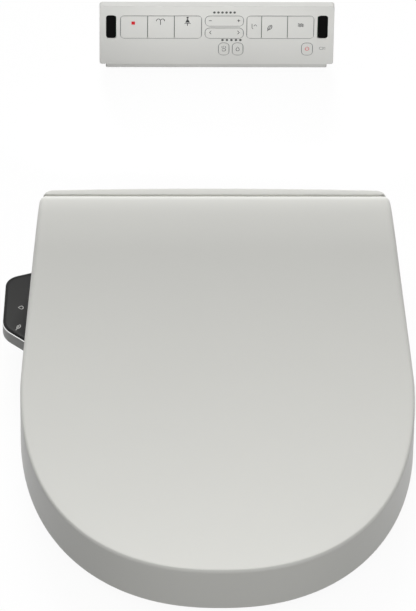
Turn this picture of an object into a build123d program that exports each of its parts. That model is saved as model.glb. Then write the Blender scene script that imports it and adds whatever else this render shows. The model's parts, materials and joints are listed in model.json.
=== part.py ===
from build123d import *
import math
import os

# Electric bidet seat: a heated seat and lid hinged on a washing unit, with a hand remote in its holder.
# Millimetres, +Z up. The origin is midway between the two deck bolts, on the rim of the bowl (z = 0).
# -Y is the front of the seat, and -X is the side with the control arm.

# ---- plan of the lid ----
lid_half_width = 193.6
widest_y = -198.6
front_y = -470.0
front_power = 2.25          # the front is a superellipse of this power
hinge_half_width = 177.2    # half width of the lid at the hinge
side_power = 1.35           # how the sides draw in towards the hinge

# ---- side section of the lid ----
hinge_y = 33.0
hinge_z = 92.0
lip_radius = 20.0           # the lid's rear edge is rolled round the hinge axis
lip_end_angle = -24.0
crown_radius = 45.0
slope = 20.0                # degrees, behind the crease
crease_radius = 250.0
front_slope = 10.0          # degrees, just in front of the crease
front_height = 52.0         # lid top at its front edge
lid_wall = 3.0
lid_edge_radius = 4.0
skirt_bottom = 8.0
skirt_raised = 47.5         # skirt bottom beside the washing unit
skirt_step_y = -121.0
skirt_step_run = 14.0

# ---- gaps between the big shells ----
lid_to_seat = 3.0
lid_to_cover = 3.0
seat_to_unit = 2.0
rest_gap = 0.3              # at a rubber or a stop
seat_margin = 0.1           # between fixed pieces that fit closely
slide_gap = 0.3             # between sliding plastics
running_gap = 0.08          # radial, on the hinge pins

# ---- seat ring ----
ring_top = 40.0
ring_bottom = 12.0
ring_skin = 3.0
ring_base = 4.0
ring_edge_radius = 6.0
opening_half_width = 105.0
opening_front_y = -410.0
opening_rear_y = -141.0
opening_edge_radius = 10.0
ring_rise_y = -168.0        # where the ring starts to climb to its hinge arms
arm_inner_x = 150.0
arm_foot_z = 50.0
arm_foot_y = -40.0
arm_disc_radius = 47.0      # the flat round ear beside the hinge
eye_end_angle = -122.0
wand_relief_half_width = 44.0
wand_relief_z = 25.0
heater_thickness = 0.8
heater_margin = 9.0
seat_bumper_size = (26.0, 12.0)
lid_bumper_radius = 6.0
lid_bumper_places = ((118.0, -395.0), (150.0, -250.0))

# ---- washing unit ----
unit_front_y = -115.0
unit_rear_y = 64.0
tray_inset = 2.0
tray_bottom = 1.5
tray_top = 46.0
tray_wall = 3.0
tray_corner = 12.0
cover_wall = 2.5
cover_end_x = 148.0
cover_setback = 1.5
trough_radius = 21.5
web_angle = -135.0
lean_angle = -10.0          # the rear wall leans back to leave room for the open lid
rear_cover_half_width = 171.0
rear_cover_top = 106.0
rear_corner = 10.0
pad_radius = 9.0
pad_x = 136.0
rear_edge_radius = 3.0
screw_x = 160.0
screw_radius = 1.9
screw_head_radius = 4.0
screw_head_height = 1.6
screw_length = 6.0

# ---- mounting plate ----
plate_half_width = 104.0
plate_neck_half_width = 98.5
plate_front_y = -44.0
plate_rear_y = 34.0
plate_neck_z = 2.9
plate_top = 5.4
pocket_ceiling = 3.0
bolt_spacing = 140.0
bolt_radius = 4.5
adjuster_radius = 22.0
adjuster_rim_radius = 25.0
adjuster_step = 2.9
adjuster_height = 4.8

# ---- hinge ----
pin_radius = 5.0
pin_inner_x = 138.0
pin_cover = 1.5             # skin of the lid left over the pin's end
boss_radius = 10.0
boss_height = 1.5
damper_radius = 10.5
damper_length = 46.0

# ---- nozzle mechanism, built on a plane inclined to the rear ----
nozzle_incline = 29.0
port_z = 15.0
wand_spacing = 26.0
wand_radius = 7.0
wand_length = 134.0
wand_bore_radius = 3.0
tip_setback = 3.0
tip_length = 18.0           # to its seam, from the front wall
spray_radius = 0.9
port_gap = 0.6
gear_module = 1.5
gear_teeth = 14
gear_face = 6.0
gear_addendum = 0.9         # in modules, as the next three
gear_dedendum = 1.2
rack_addendum = 0.75
rack_dedendum = 1.05
pressure_angle = 20.0
tooth_play = 0.3
rack_back = 2.2
pinion_place = 40.0         # behind the front wall, along the incline
rack_overrun = 8.0
motor_radius = 13.0
motor_height = 19.0
motor_lift = 4.6
shaft_radius = 2.5
shaft_gap = 0.1
frame_plate = 3.0
frame_drop = 9.5
frame_half_width = 50.0
frame_start = 10.0
guide_length = 8.0
guide_wall = 3.0

# ---- what the unit holds ----
heater_low = (58.0, -104.0)
heater_high = (140.0, -52.0)
heater_top = 58.0
drain_y = -64.0
drain_z = 18.0
drain_radius = 9.0
drain_depth = 10.0
button_y = -90.0
button_z = 26.0
button_radius = 8.0
button_proud = 1.2
button_flange = 2.5
fan_x = 84.0
fan_y = -14.0
fan_radius = 24.0
fan_height = 24.0
fan_wall = 2.0
fan_blades = 24
impeller_gap = 2.0
filter_inner_x = 126.0
filter_front_y = -34.0
filter_rear_y = 4.0
filter_height = 25.0
notch_x = (112.0, 150.0)
notch_depth = 22.0
notch_top = 40.0
spigot_radius = 10.4
spigot_bore = 6.0
spigot_length = 14.0
spigot_z = 21.0
gland_radius = 8.0
gland_bore = 4.0
gland_length = 8.0
board_low = (-150.0, -104.0)
board_high = (-58.0, -26.0)
board_z = 38.0
supply_low = (-150.0, -18.0)
supply_high = (-109.0, 34.0)
supply_top = 40.0

# ---- control arm ----
arm_rear_reach = 27.2       # how far the arm stands out from the lid's side, at its rear and front corners
arm_rear_y = -6.3
arm_front_reach = 26.2
arm_front_y = -85.2
arm_rear_slope = 23.0       # degrees, how its rear edge runs back under the lid
arm_front_slope = 39.8
arm_rear_radius = 14.0
arm_front_radius = 11.0
arm_top = 44.0
arm_bottom = 28.0
arm_wall = 2.2
trim_height = 1.0
panel_thickness = 1.6
panel_margin = 0.8

# ---- remote and its holder ----
remote_x = 7.5
remote_face_y = 415.2
remote_width = 249.4
remote_height = 75.5
remote_foot = 5.4
remote_rim = 8.2
remote_depth = 17.0
remote_wall = 2.4
remote_corner = 3.0
back_setback = 9.6          # how far the back shell stands in from the face's ends
back_chamfer = 6.5
back_foot = 3.2             # how far the back shell stands in from the face, above and below
holder_inset = 6.7          # from the remote's ends to the holder's
holder_wall = 2.6
holder_setback = 2.0
holder_play = 1.0           # behind the remote, so that it lifts out freely
holder_cheek = 20.0
holder_back_height = 56.0
holder_screw_spacing = 160.0
holder_screw_radius = 2.2
holder_screw_z = 42.0
key_gap = 0.3
key_proud = 0.4
key_travel = 0.8
key_corner = 3.4            # at the outer corners of a group of keys
small_corner = 4.0
rocker_corner = 4.6
key_stem_radius = 1.8
rocker_pivot_radius = 1.6
rocker_stroke = 1.7
key_row = (34.0, 63.1)
small_row = (12.2, 28.0)
upper_rocker_row = (49.9, 63.1)
lower_rocker_row = (34.0, 47.5)
window_width = 10.5
window_inset = 12.5         # from the remote's ends to the middle of its windows
window_row = (34.0, 63.1)
led_radius = 0.6
pcb_depth = 6.0
pcb_thickness = 1.6
battery_radius = 5.2
battery_length = 44.5
battery_inset = 56.7        # from the remote's left end to the middle of its batteries
battery_z = 16.0
door_width = 56.0
door_height = 26.0
door_thickness = 1.4
door_recess = 0.4
door_travel = 12.0

os.makedirs("parts", exist_ok=True)


# ---- shared outlines ----
def half_width(y, inset=0.0):
    """Half width of the lid's plan behind its widest line."""
    share = (y - widest_y) / (hinge_y - widest_y)
    return lid_half_width - (lid_half_width - hinge_half_width) * share ** side_power - inset


def plan_face(inset, rear_y):
    """The lid's outline, drawn in by inset and closed by a straight line at rear_y."""
    length = widest_y - front_y
    points = []
    for degrees in (6, 14, 24, 36, 49, 63, 77, 90):
        sine, cosine = math.sin(math.radians(degrees)), math.cos(math.radians(degrees))
        x = lid_half_width * sine ** (2 / front_power)
        depth = length * max(cosine, 0.0) ** (2 / front_power)
        normal_x = x ** (front_power - 1) / lid_half_width ** front_power
        normal_y = depth ** (front_power - 1) / length ** front_power
        size = math.hypot(normal_x, normal_y)
        points.append((x - inset * normal_x / size, widest_y - depth + inset * normal_y / size))
    for share in (0.28, 0.52, 0.76, 1.0):
        y = widest_y + (rear_y - widest_y) * share
        points.append((half_width(y, inset), y))
    left = [(-x, y) for x, y in reversed(points)]
    side = Spline(*left, (0, front_y + inset), *points)
    return make_face(Curve() + [side, Line(side @ 1, side @ 0)])


def plan_body(inset, rear_y, low, high):
    return Pos(0, 0, low) * extrude(plan_face(inset, rear_y), high - low)


def polar(radius, degrees):
    """A point of the side section, given from the hinge axis."""
    angle = math.radians(degrees)
    return (hinge_y + radius * math.cos(angle), hinge_z + radius * math.sin(angle))


def top_arcs():
    """Centres and ends of the arcs of the lid's top, from the hinge forwards."""
    sin_s, cos_s = math.sin(math.radians(slope)), math.cos(math.radians(slope))
    sin_f, cos_f = math.sin(math.radians(front_slope)), math.cos(math.radians(front_slope))
    crown = (hinge_y, hinge_z + lip_radius - crown_radius)
    start = (crown[0] - crown_radius * sin_s, crown[1] + crown_radius * cos_s)
    run = start[0] - front_y - crease_radius * (sin_s - sin_f)
    fall = start[1] - front_height - crease_radius * (cos_f - cos_s)
    straight = (fall - run * (1 - cos_f) / sin_f) / (sin_s - cos_s * (1 - cos_f) / sin_f)
    front_radius = (run - straight * cos_s) / sin_f
    crease_start = (start[0] - straight * cos_s, start[1] - straight * sin_s)
    crease = (crease_start[0] - crease_radius * sin_s, crease_start[1] + crease_radius * cos_s)
    crease_end = (crease[0] + crease_radius * sin_f, crease[1] - crease_radius * cos_f)
    front = (crease_end[0] - front_radius * sin_f, crease_end[1] + front_radius * cos_f)
    return crown, crease, front, front_radius


def top_z(y, drop):
    """Height of the surface that lies drop below the lid's top, at y."""
    crown, crease, front, front_radius = top_arcs()
    if y < crease[0] + (crease_radius + drop) * math.sin(math.radians(front_slope)):
        return front[1] - math.sqrt((front_radius + drop) ** 2 - (y - front[0]) ** 2)
    if y < crease[0] + (crease_radius + drop) * math.sin(math.radians(slope)):
        return crease[1] - math.sqrt((crease_radius + drop) ** 2 - (y - crease[0]) ** 2)
    start_y = crown[0] - (crown_radius - drop) * math.sin(math.radians(slope))
    start_z = crown[1] + (crown_radius - drop) * math.cos(math.radians(slope))
    if y < start_y:
        return start_z - (start_y - y) * math.tan(math.radians(slope))
    return crown[1] + math.sqrt((crown_radius - drop) ** 2 - (y - crown[0]) ** 2)


def top_edges(drop, from_y, lip_angle):
    """The lid's top, drop below the outside, from from_y back round the hinge to lip_angle."""
    crown, crease, front, front_radius = top_arcs()
    radius = front_radius + drop
    first = math.degrees(math.asin((from_y - front[0]) / radius)) - 90
    long_arc = CenterArc(front, radius, first, front_slope - 90 - first)
    crease_arc = CenterArc(crease, crease_radius + drop, front_slope - 90, slope - front_slope)
    crown_arc = CenterArc(crown, crown_radius - drop, 90 + slope, -slope)
    lip_arc = CenterArc((hinge_y, hinge_z), lip_radius - drop, 90, lip_angle - 90)
    return [long_arc, crease_arc, Line(crease_arc @ 1, crown_arc @ 0), crown_arc, lip_arc]


def section(edges, *corners):
    """A side section closed by straight lines through corners, from the last edge to the first."""
    chain = [edges[-1] @ 1] + [Vector(*corner) for corner in corners] + [edges[0] @ 0]
    lines = [Line(a, b) for a, b in zip(chain, chain[1:])]
    return make_face(Curve() + list(edges) + lines)


def slab(face, left_x, right_x):
    """A side section carried from left_x to right_x."""
    return Pos(left_x, 0, 0) * extrude(Plane.YZ * face, right_x - left_x)


def block(low, high, radius=0.0):
    """A box between two corners, with rounded upright edges."""
    size = [b - a for a, b in zip(low, high)]
    centre = [(a + b) / 2 for a, b in zip(low, high)]
    solid = Pos(*centre) * Box(*size)
    return fillet(solid.edges().filter_by(Axis.Z), radius) if radius else solid


def rod(radius, start, end):
    """A round bar from start to end."""
    axis = Vector(*end) - Vector(*start)
    return Plane(origin=start, z_dir=axis) * extrude(Circle(radius), axis.length)


def upright(solid):
    """The edges that stand straight up, whatever surfaces meet in them."""
    found = []
    for edge in solid.edges():
        size = edge.bounding_box().size
        if size.X < 0.01 and size.Y < 0.01 and size.Z > 1:
            found.append(edge)
    return found


def both_sides(solid):
    return [solid, mirror(solid, Plane.YZ)]


# ---- lid ----
def lid_outer_section():
    drop_y = front_y - 10
    edges = top_edges(0, front_y, 0)
    nose = Line((drop_y, front_height), edges[0] @ 0)
    corners = (
        (hinge_y + lip_radius, hinge_z - 36), (hinge_y + 5, skirt_raised), (skirt_step_y, skirt_raised),
        (skirt_step_y - skirt_step_run, skirt_bottom), (drop_y, skirt_bottom),
    )
    return section([nose] + edges, *corners)


def lid_cavity_section():
    drop_y = front_y - 10
    edges = top_edges(lid_wall, front_y, lip_end_angle)
    nose = Line((drop_y, (edges[0] @ 0).Y), edges[0] @ 0)
    lip_z = (edges[-1] @ 1).Y
    behind = hinge_y + lip_radius + 9
    return section([nose] + edges, (behind, lip_z), (behind, -5), (drop_y, -5))


def build_lid():
    reach = lid_half_width + 10
    rear = hinge_y + lip_radius + 8
    outer = plan_body(0, rear, -10, 130) & slab(lid_outer_section(), -reach, reach)
    rim = [e for e in outer.edges() if is_top_rim(e)]
    outer = fillet(rim, lid_edge_radius)
    cavity = plan_body(lid_wall, rear + 2, -10, 130) & slab(lid_cavity_section(), -reach, reach)
    lid = outer - cavity
    boss_start = half_width(hinge_y, lid_wall) - boss_height
    bore_end = pin_end_x() + rest_gap
    for side in (-1, 1):
        axis = [(side * x, hinge_y, hinge_z) for x in (boss_start, boss_start + boss_height + 1, bore_end)]
        lid += rod(boss_radius, axis[0], axis[1])
        lid -= rod(pin_radius + running_gap, axis[0], axis[2])
    return lid


def is_top_rim(edge):
    """True for an edge where the lid's top or its rolled lip meets the side wall."""
    for at in (0.1, 0.5, 0.9):
        point = edge @ at
        from_axis = math.hypot(point.Y - hinge_y, point.Z - hinge_z)
        if point.Y > hinge_y:
            off_surface = abs(from_axis - lip_radius) if point.Z > hinge_z - 0.01 else 1
        else:
            off_surface = abs(point.Z - top_z(max(point.Y, front_y), 0))
        if off_surface > 0.05:
            return False
    return abs((edge @ 0.2).X - (edge @ 0.8).X) > 1e-3 or abs((edge @ 0.5).X) > 50


def build_lid_bumpers():
    """Rubber stops under the lid that meet the seat."""
    pieces = []
    for x, y in lid_bumper_places:
        head = top_z(y - lid_bumper_radius, lid_wall) - seat_margin
        pieces += both_sides(rod(lid_bumper_radius, (x, y, ring_top + rest_gap), (x, y, head)))
    return Compound(pieces)


# ---- seat ----
def opening_solid(grow, low, high):
    centre_y = (opening_front_y + opening_rear_y) / 2
    half_length = (opening_rear_y - opening_front_y) / 2
    return Pos(0, centre_y, low) * extrude(Ellipse(opening_half_width - grow, half_length - grow), high - low)


def seat_section():
    """Side section of an arm: it leaves the ring, climbs beside the unit and ends in the hinge eye."""
    arm_y = unit_front_y - seat_to_unit
    arm = top_edges(lid_wall + lid_to_seat, arm_y, eye_end_angle)
    first = arm[0] % 0
    rise = Spline((ring_rise_y, ring_top), arm[0] @ 0, tangents=[(1, 0), (first.X, first.Y)])
    corners = (
        (arm_foot_y, arm_foot_z), (arm_y, arm_foot_z),
        (arm_y, ring_bottom), (ring_rise_y, ring_bottom),
    )
    return section([rise] + arm, *corners)


def seat_ring():
    """The flat ring, its hole rounded for sitting."""
    inset = lid_wall + lid_to_seat
    ring = plan_body(inset, unit_front_y - seat_to_unit, ring_bottom, ring_top)
    ring -= opening_solid(0, 0, 60)
    top = [e for e in ring.edges() if e.bounding_box().min.Z > ring_top - 0.01]
    ring = fillet([e for e in top if e.is_closed], opening_edge_radius)
    top = [e for e in ring.edges() if e.bounding_box().min.Z > ring_top - 0.01 and (e @ 0.5).Y < front_y + 50]
    return fillet([e for e in top if not e.is_closed], ring_edge_radius)


def seat_arms():
    """The two arms that climb from the ring beside the unit to the hinge."""
    rear = hinge_y + lip_radius
    side = plan_body(lid_wall + lid_to_seat, rear, 0, 130)
    right = side & slab(seat_section(), arm_inner_x, lid_half_width)
    crest = [e for e in right.edges() if is_arm_crest(e)]
    right = fillet(crest, ring_edge_radius)
    ear = half_width(hinge_y, lid_wall + lid_to_seat)
    right -= rod(arm_disc_radius, (ear, hinge_y, hinge_z), (ear + 50, hinge_y, hinge_z))
    return both_sides(right)


def is_arm_crest(edge):
    """True for an edge between an arm's top and its outer side."""
    middle = edge @ 0.5
    outside = middle.X > half_width(middle.Y, lid_wall + lid_to_seat) - 0.2
    return outside and ring_rise_y < middle.Y < hinge_y + 1 and middle.Z > ring_top and edge.length > 20


def build_seat():
    arm_y = unit_front_y - seat_to_unit
    whole = seat_ring()
    for arm in seat_arms():
        whole += arm
    inset = lid_wall + lid_to_seat
    split = ring_bottom + ring_base
    reach = lid_half_width + 10
    base = whole & block((-reach, front_y - 20, 0), (reach, arm_y + 0.1, split))
    top = whole - block((-reach, front_y - 20, 0), (reach, arm_y, split))
    hollow = plan_body(inset + ring_skin, opening_rear_y - ring_skin, split - 1, ring_top - ring_skin)
    hollow -= opening_solid(-ring_skin, 0, 60)
    top -= hollow
    relief = block((-wand_relief_half_width, opening_rear_y - 30, 0),
                   (wand_relief_half_width, arm_y + 1, wand_relief_z))
    eye_axis = rod(pin_radius + running_gap, (-reach, hinge_y, hinge_z), (reach, hinge_y, hinge_z))
    return top - relief - eye_axis, base - relief


def build_heater():
    """A heating foil under the ring's sitting face."""
    inset = lid_wall + lid_to_seat + ring_skin + heater_margin
    top = ring_top - ring_skin
    foil = plan_body(inset, opening_rear_y - ring_skin - 2, top - heater_thickness, top)
    foil -= opening_solid(-ring_skin - heater_margin, 0, 60)
    return foil


def build_seat_bumpers():
    length, width = seat_bumper_size
    shape = SlotOverall(length, width)
    pieces = []
    for x, y, turn in ((95, -430, 25), (148, -190, 90)):
        pieces += both_sides(Pos(x, y, 0) * Rot(0, 0, turn) * extrude(shape, ring_bottom))
    return Compound(pieces)


# ---- washing unit: shells ----
def notches(grow=0.0):
    """Two bays in the rear of the tray, for the water inlet and for the cable."""
    low = (notch_x[0] - grow, unit_rear_y - notch_depth - grow, 0)
    high = (notch_x[1] + grow, unit_rear_y + 5, notch_top + grow)
    return both_sides(block(low, high))


def plate_pocket(grow=0.0):
    """The room in the tray's underside for the mounting plate, open to the rear."""
    front = plate_front_y - rest_gap - grow
    side = slide_gap + grow
    neck = block((-plate_neck_half_width - side, front, -1),
                 (plate_neck_half_width + side, unit_rear_y + 1, plate_top))
    flange = block((-plate_half_width - side, front, plate_neck_z - slide_gap - grow),
                   (plate_half_width + side, unit_rear_y + 1, plate_top + slide_gap + grow))
    return neck + flange


def pocket_roof_z():
    """Top of the tray's raised floor over the mounting plate."""
    return plate_top + slide_gap + pocket_ceiling


def build_tray():
    front = block((-250, unit_front_y, 0), (250, unit_rear_y + 1, tray_top + 1))
    outer = plan_body(tray_inset, unit_rear_y, tray_bottom, tray_top) & front
    outer = fillet(upright(outer), tray_corner)
    inside = block((-250, unit_front_y + tray_wall, 0), (250, unit_rear_y - tray_wall, tray_top + 1))
    floor = tray_bottom + tray_wall
    inner = plan_body(tray_inset + tray_wall, unit_rear_y, floor, tray_top + 1) & inside
    inner = fillet(upright(inner), tray_corner - tray_wall)
    for notch in notches(tray_wall):
        inner -= notch
    inner -= plate_pocket(pocket_ceiling)
    tray = outer - inner
    for x, y in board_posts():
        tray += rod(4, (x, y, floor - 0.5), (x, y, board_z))
    for notch in notches():
        tray -= notch
    tray -= plate_pocket()
    for x, y in screw_places():
        tray += rod(screw_head_radius + 1, (x, y, floor - 0.5), (x, y, floor + screw_length + 1))
        tray -= rod(screw_radius, (x, y, 0), (x, y, floor + screw_length))
        tray -= rod(screw_head_radius, (x, y, 0), (x, y, tray_bottom + screw_head_height))
    for side in (1, -1):
        tray -= wand_port(side)
    tray -= filter_room()
    tray -= rod(button_radius + slide_gap, (150, button_y, button_z), (250, button_y, button_z))
    tray -= rod(drain_radius + slide_gap, (150, drain_y, drain_z), (250, drain_y, drain_z))
    for side in (1, -1):
        x = side * (notch_x[0] + notch_x[1]) / 2
        y = unit_rear_y - notch_depth
        radius = spigot_radius if side > 0 else gland_radius
        tray -= rod(radius, (x, y - tray_wall - 1, spigot_z), (x, y + 1, spigot_z))
    return tray


def board_posts():
    (left, front), (right, rear) = board_low, board_high
    return [(x, y) for x in (left + 7, right - 7) for y in (front + 7, rear - 7)]


def screw_places():
    return [(x, y) for x in (-screw_x, screw_x) for y in (unit_front_y + 12, unit_rear_y - notch_depth - 12)]


def build_screws():
    pieces = []
    for x, y in screw_places():
        shoulder = (x, y, tray_bottom + screw_head_height)
        head = rod(screw_head_radius - seat_margin, (x, y, tray_bottom + 0.2), shoulder)
        shank = rod(screw_radius - seat_margin, shoulder, (x, y, tray_bottom + tray_wall + screw_length))
        pieces.append(head + shank)
    return Compound(pieces)


def build_pads():
    pieces = []
    for x, y in ((140, unit_front_y + 22), (pad_x, unit_rear_y - notch_depth - 12)):
        pieces += both_sides(rod(pad_radius, (x, y, 0), (x, y, tray_bottom)))
    return Compound(pieces)


def cover_drop():
    return lid_wall + lid_to_cover


def cover_end_section():
    """The full side section under the cover's skin, for its end walls."""
    edges = top_edges(cover_drop(), unit_front_y + cover_setback, web_angle)
    foot = polar(trough_radius + cover_wall, web_angle)
    corners = (foot, (foot[0], tray_top), (unit_front_y + cover_setback, tray_top))
    return section(edges, *corners)


def cover_skin_section():
    """The bent sheet of the cover: front wall, top, the roll round the hinge axis and the web below it."""
    front = unit_front_y + cover_setback
    outer = top_edges(cover_drop(), front, web_angle)
    core = lip_radius - cover_drop() - cover_wall
    far = trough_radius + cover_wall
    bend_in = web_angle - math.degrees(math.asin(cover_wall / core))
    bend_out = web_angle - math.degrees(math.asin(cover_wall / far))
    inner = top_edges(cover_drop() + cover_wall, front + cover_wall, bend_in)
    chain = outer + [Line(outer[-1] @ 1, polar(far, web_angle)),
                     Line(polar(far, web_angle), polar(far, bend_out)),
                     Line(polar(far, bend_out), inner[-1] @ 1)] + inner
    foot = [Line(inner[0] @ 0, (front + cover_wall, tray_top)),
            Line((front + cover_wall, tray_top), (front, tray_top)),
            Line((front, tray_top), outer[0] @ 0)]
    return make_face(Curve() + chain + foot)


def build_upper_cover():
    cover = slab(cover_skin_section(), -cover_end_x, cover_end_x)
    for left in (-cover_end_x, cover_end_x - cover_wall):
        cover += slab(cover_end_section(), left, left + cover_wall)
    corners = [e for e in cover.edges().filter_by(Axis.Z)
               if abs(abs((e @ 0.5).X) - cover_end_x) < 0.01 and (e @ 0.5).Y < unit_front_y + 10]
    cover = fillet(corners, cover_wall)
    return cover - rod(pin_radius, (-250, hinge_y, hinge_z), (250, hinge_y, hinge_z))


def rear_section(skin, start_angle, foot_y):
    """Side section of the rear cover: trough, leaning wall and flat top, drawn in by skin."""
    radius = trough_radius + skin
    trough = CenterArc((hinge_y, hinge_z), radius, start_angle, lean_angle - start_angle)
    rear = unit_rear_y - skin
    if skin:
        corners = ((rear, (trough @ 1).Y), (rear, tray_top), (foot_y, tray_top))
        return section([trough], *corners)
    rise = rear_cover_top - (trough @ 1).Y
    lean_y = (trough @ 1).X - rise * math.tan(math.radians(lean_angle))
    corners = ((lean_y, rear_cover_top), (rear, rear_cover_top), (rear, tray_top), (foot_y, tray_top))
    return section([trough], *corners)


def build_rear_cover():
    web_y = polar(trough_radius, web_angle)[0]
    far = rear_cover_half_width
    outer = slab(rear_section(0, -90, hinge_y), -far, far)
    outer += slab(rear_section(0, web_angle, web_y), -cover_end_x, cover_end_x)
    corners = [e for e in outer.edges().filter_by(Axis.Z) if (e @ 0.5).Y > unit_rear_y - 0.01]
    outer = fillet(corners, rear_corner)
    top = [e for e in outer.edges() if (e @ 0.5).Z > rear_cover_top - 0.01]
    outer = fillet([e for e in top if (e @ 0.5).Y > unit_rear_y - rear_corner], rear_edge_radius)
    far, near = rear_cover_half_width - cover_wall, cover_end_x - cover_wall
    hollow = slab(rear_section(cover_wall, -90, hinge_y + cover_wall), -far, far)
    hollow += slab(rear_section(cover_wall, web_angle, web_y - 10), -near, near)
    corners = [e for e in hollow.edges().filter_by(Axis.Z) if (e @ 0.5).Y > unit_rear_y - cover_wall - 0.01]
    hollow = fillet(corners, rear_corner - cover_wall)
    return outer - hollow


# ---- washing unit: hinge ----
def pin_end_x():
    return half_width(hinge_y) - pin_cover - rest_gap


def build_pins():
    pieces = both_sides(rod(pin_radius, (pin_inner_x, hinge_y, hinge_z), (pin_end_x(), hinge_y, hinge_z)))
    return Compound(pieces)


def build_damper(side):
    """A rotary damper inside the cover's roll: its case, its end flange and a flat that keys it."""
    start = (side * (pin_inner_x - damper_length), hinge_y, hinge_z)
    end = (side * pin_inner_x, hinge_y, hinge_z)
    case = rod(damper_radius - 1, start, end)
    flange = rod(damper_radius, (side * (pin_inner_x - 5), hinge_y, hinge_z), end)
    low = hinge_z - damper_radius
    flat = block((-250, hinge_y - 20, low - 2), (250, hinge_y + 20, low + 3))
    return case + flange - flat


# ---- washing unit: nozzles ----
incline = Plane(origin=(0, unit_front_y, port_z), x_dir=(1, 0, 0),
                z_dir=(0, -math.sin(math.radians(nozzle_incline)), math.cos(math.radians(nozzle_incline))))
pitch_radius = gear_module * gear_teeth / 2


def on_incline(shape):
    return incline * shape


def wand_x(side):
    return side * wand_spacing / 2


def rack_root_x():
    return wand_spacing / 2 + wand_radius + rack_back


def rack_pitch_x():
    return rack_root_x() + rack_dedendum * gear_module


def pinion_x():
    return rack_pitch_x() + pitch_radius


def along(radius, x, start, end, z=0.0):
    """A round bar along the incline, from start to end behind the front wall."""
    return rod(radius, (x, start, z), (x, end, z))


def rack_room(side, gap):
    """The slot that a rack needs beside its wand."""
    tip = rack_pitch_x() + rack_addendum * gear_module + gap
    inner = wand_spacing / 2
    solid = block((inner, -20, -gear_face / 2 - gap), (tip, wand_length + 20, gear_face / 2 + gap))
    return solid if side > 0 else mirror(solid, Plane.YZ)


def wand_port(side):
    """The keyhole in the tray's front wall that a wand and its rack pass through."""
    hole = along(wand_radius + port_gap, wand_x(side), -20, 30)
    slot = rack_room(side, port_gap) & block((-100, -20, -20), (100, 30, 20))
    return on_incline(hole + slot)


def rack_profile():
    """The toothed edge of a rack: straight flanks, cut in a strip beside the wand."""
    pitch = math.pi * gear_module
    start, end = pinion_place - rack_overrun, wand_length
    lean = math.tan(math.radians(pressure_angle))
    tip_half = pitch / 4 - rack_addendum * gear_module * lean - tooth_play / 2
    root_half = pitch / 4 + rack_dedendum * gear_module * lean - tooth_play / 2
    root_x, tip_x = rack_root_x(), rack_pitch_x() + rack_addendum * gear_module
    points = [(root_x, start)]
    first = math.ceil((start + root_half - pinion_place) / pitch)
    last = math.floor((end - root_half - pinion_place) / pitch)
    for number in range(first, last + 1):
        middle = pinion_place + number * pitch
        points += [(root_x, middle - root_half), (tip_x, middle - tip_half),
                   (tip_x, middle + tip_half), (root_x, middle + root_half)]
    inner = wand_spacing / 2 + wand_radius * 0.7
    points += [(root_x, end), (inner, end), (inner, start)]
    return make_face(Polyline(*points, close=True))


def build_wand(side):
    tube = along(wand_radius, wand_spacing / 2, tip_length, wand_length)
    bore = along(wand_bore_radius, wand_spacing / 2, 0, wand_length - 6)
    rack = Pos(0, 0, -gear_face / 2) * extrude(rack_profile(), gear_face)
    wand = tube + rack - bore
    return on_incline(wand if side > 0 else mirror(wand, Plane.YZ))


def build_tip(side, holes):
    """The snap-on spray head at the wand's front, with its ring of spray holes on top."""
    x = wand_x(side)
    head = along(wand_radius, x, tip_setback, tip_length)
    head = fillet(head.edges().filter_by(GeomType.CIRCLE).sort_by(Axis.Y)[:1], 2.5)
    head += along(wand_bore_radius - 0.1, x, tip_length - 1, tip_length + 8)
    face = block((x - wand_radius, 0, wand_radius - 1.2), (x + wand_radius, tip_length - 4, wand_radius + 1))
    head -= face
    for number in range(holes):
        angle = 2 * math.pi * number / holes
        hole_x = x + 2.4 * math.cos(angle)
        hole_y = tip_setback + 6 + 2.4 * math.sin(angle)
        head -= rod(spray_radius, (hole_x, hole_y, wand_radius - 3), (hole_x, hole_y, wand_radius + 1))
    return on_incline(head)


def pinion_outline():
    """Involute teeth as a closed outline about the gear's own centre."""
    base = pitch_radius * math.cos(math.radians(pressure_angle))
    outer = pitch_radius + gear_addendum * gear_module
    root = pitch_radius - gear_dedendum * gear_module
    pitch_spread = math.tan(math.radians(pressure_angle)) - math.radians(pressure_angle)
    half_tooth = math.pi / (2 * gear_teeth) - tooth_play / (2 * pitch_radius)
    flank = []
    for share in (0.0, 0.35, 0.7, 1.0):
        radius = base + (outer - base) * share
        roll = math.acos(base / radius)
        flank.append((radius, half_tooth + pitch_spread - (math.tan(roll) - roll)))
    flank.insert(0, (root, flank[0][1]))
    points = []
    for tooth in range(gear_teeth):
        # a gap faces the rack at the pinion's place, so that a rack tooth stands in it
        centre = math.pi + (2 * tooth + 1) * math.pi / gear_teeth
        for radius, spread in flank:
            points.append((radius * math.cos(centre - spread), radius * math.sin(centre - spread)))
        for radius, spread in reversed(flank):
            points.append((radius * math.cos(centre + spread), radius * math.sin(centre + spread)))
    return make_face(Polyline(*points, close=True))


def build_pinion(side):
    gear = Pos(0, 0, -gear_face / 2) * extrude(pinion_outline(), gear_face)
    shaft = rod(shaft_radius, (0, 0, -frame_drop - frame_plate + 1), (0, 0, motor_lift + 4))
    pinion = Pos(pinion_x(), pinion_place, 0) * (gear + shaft)
    return on_incline(pinion if side > 0 else mirror(pinion, Plane.YZ))


def build_motors():
    pieces = []
    x, y = pinion_x(), pinion_place
    low, edge_x, reach = motor_lift, x + motor_radius, motor_radius + 6
    case = rod(motor_radius, (x, y, low), (x, y, low + motor_height))
    ears = block((x - 5, y - reach, low), (x + 5, y + reach, low + 2), 3)
    plug = block((edge_x - 3, y - 6, low + 5), (edge_x + 4, y + 6, low + 13))
    bore = rod(shaft_radius + shaft_gap, (x, y, 0), (x, y, low + 4 + rest_gap))
    motor = case + ears + plug - bore
    for piece in both_sides(motor):
        pieces.append(on_incline(piece))
    return Compound(pieces)


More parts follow.
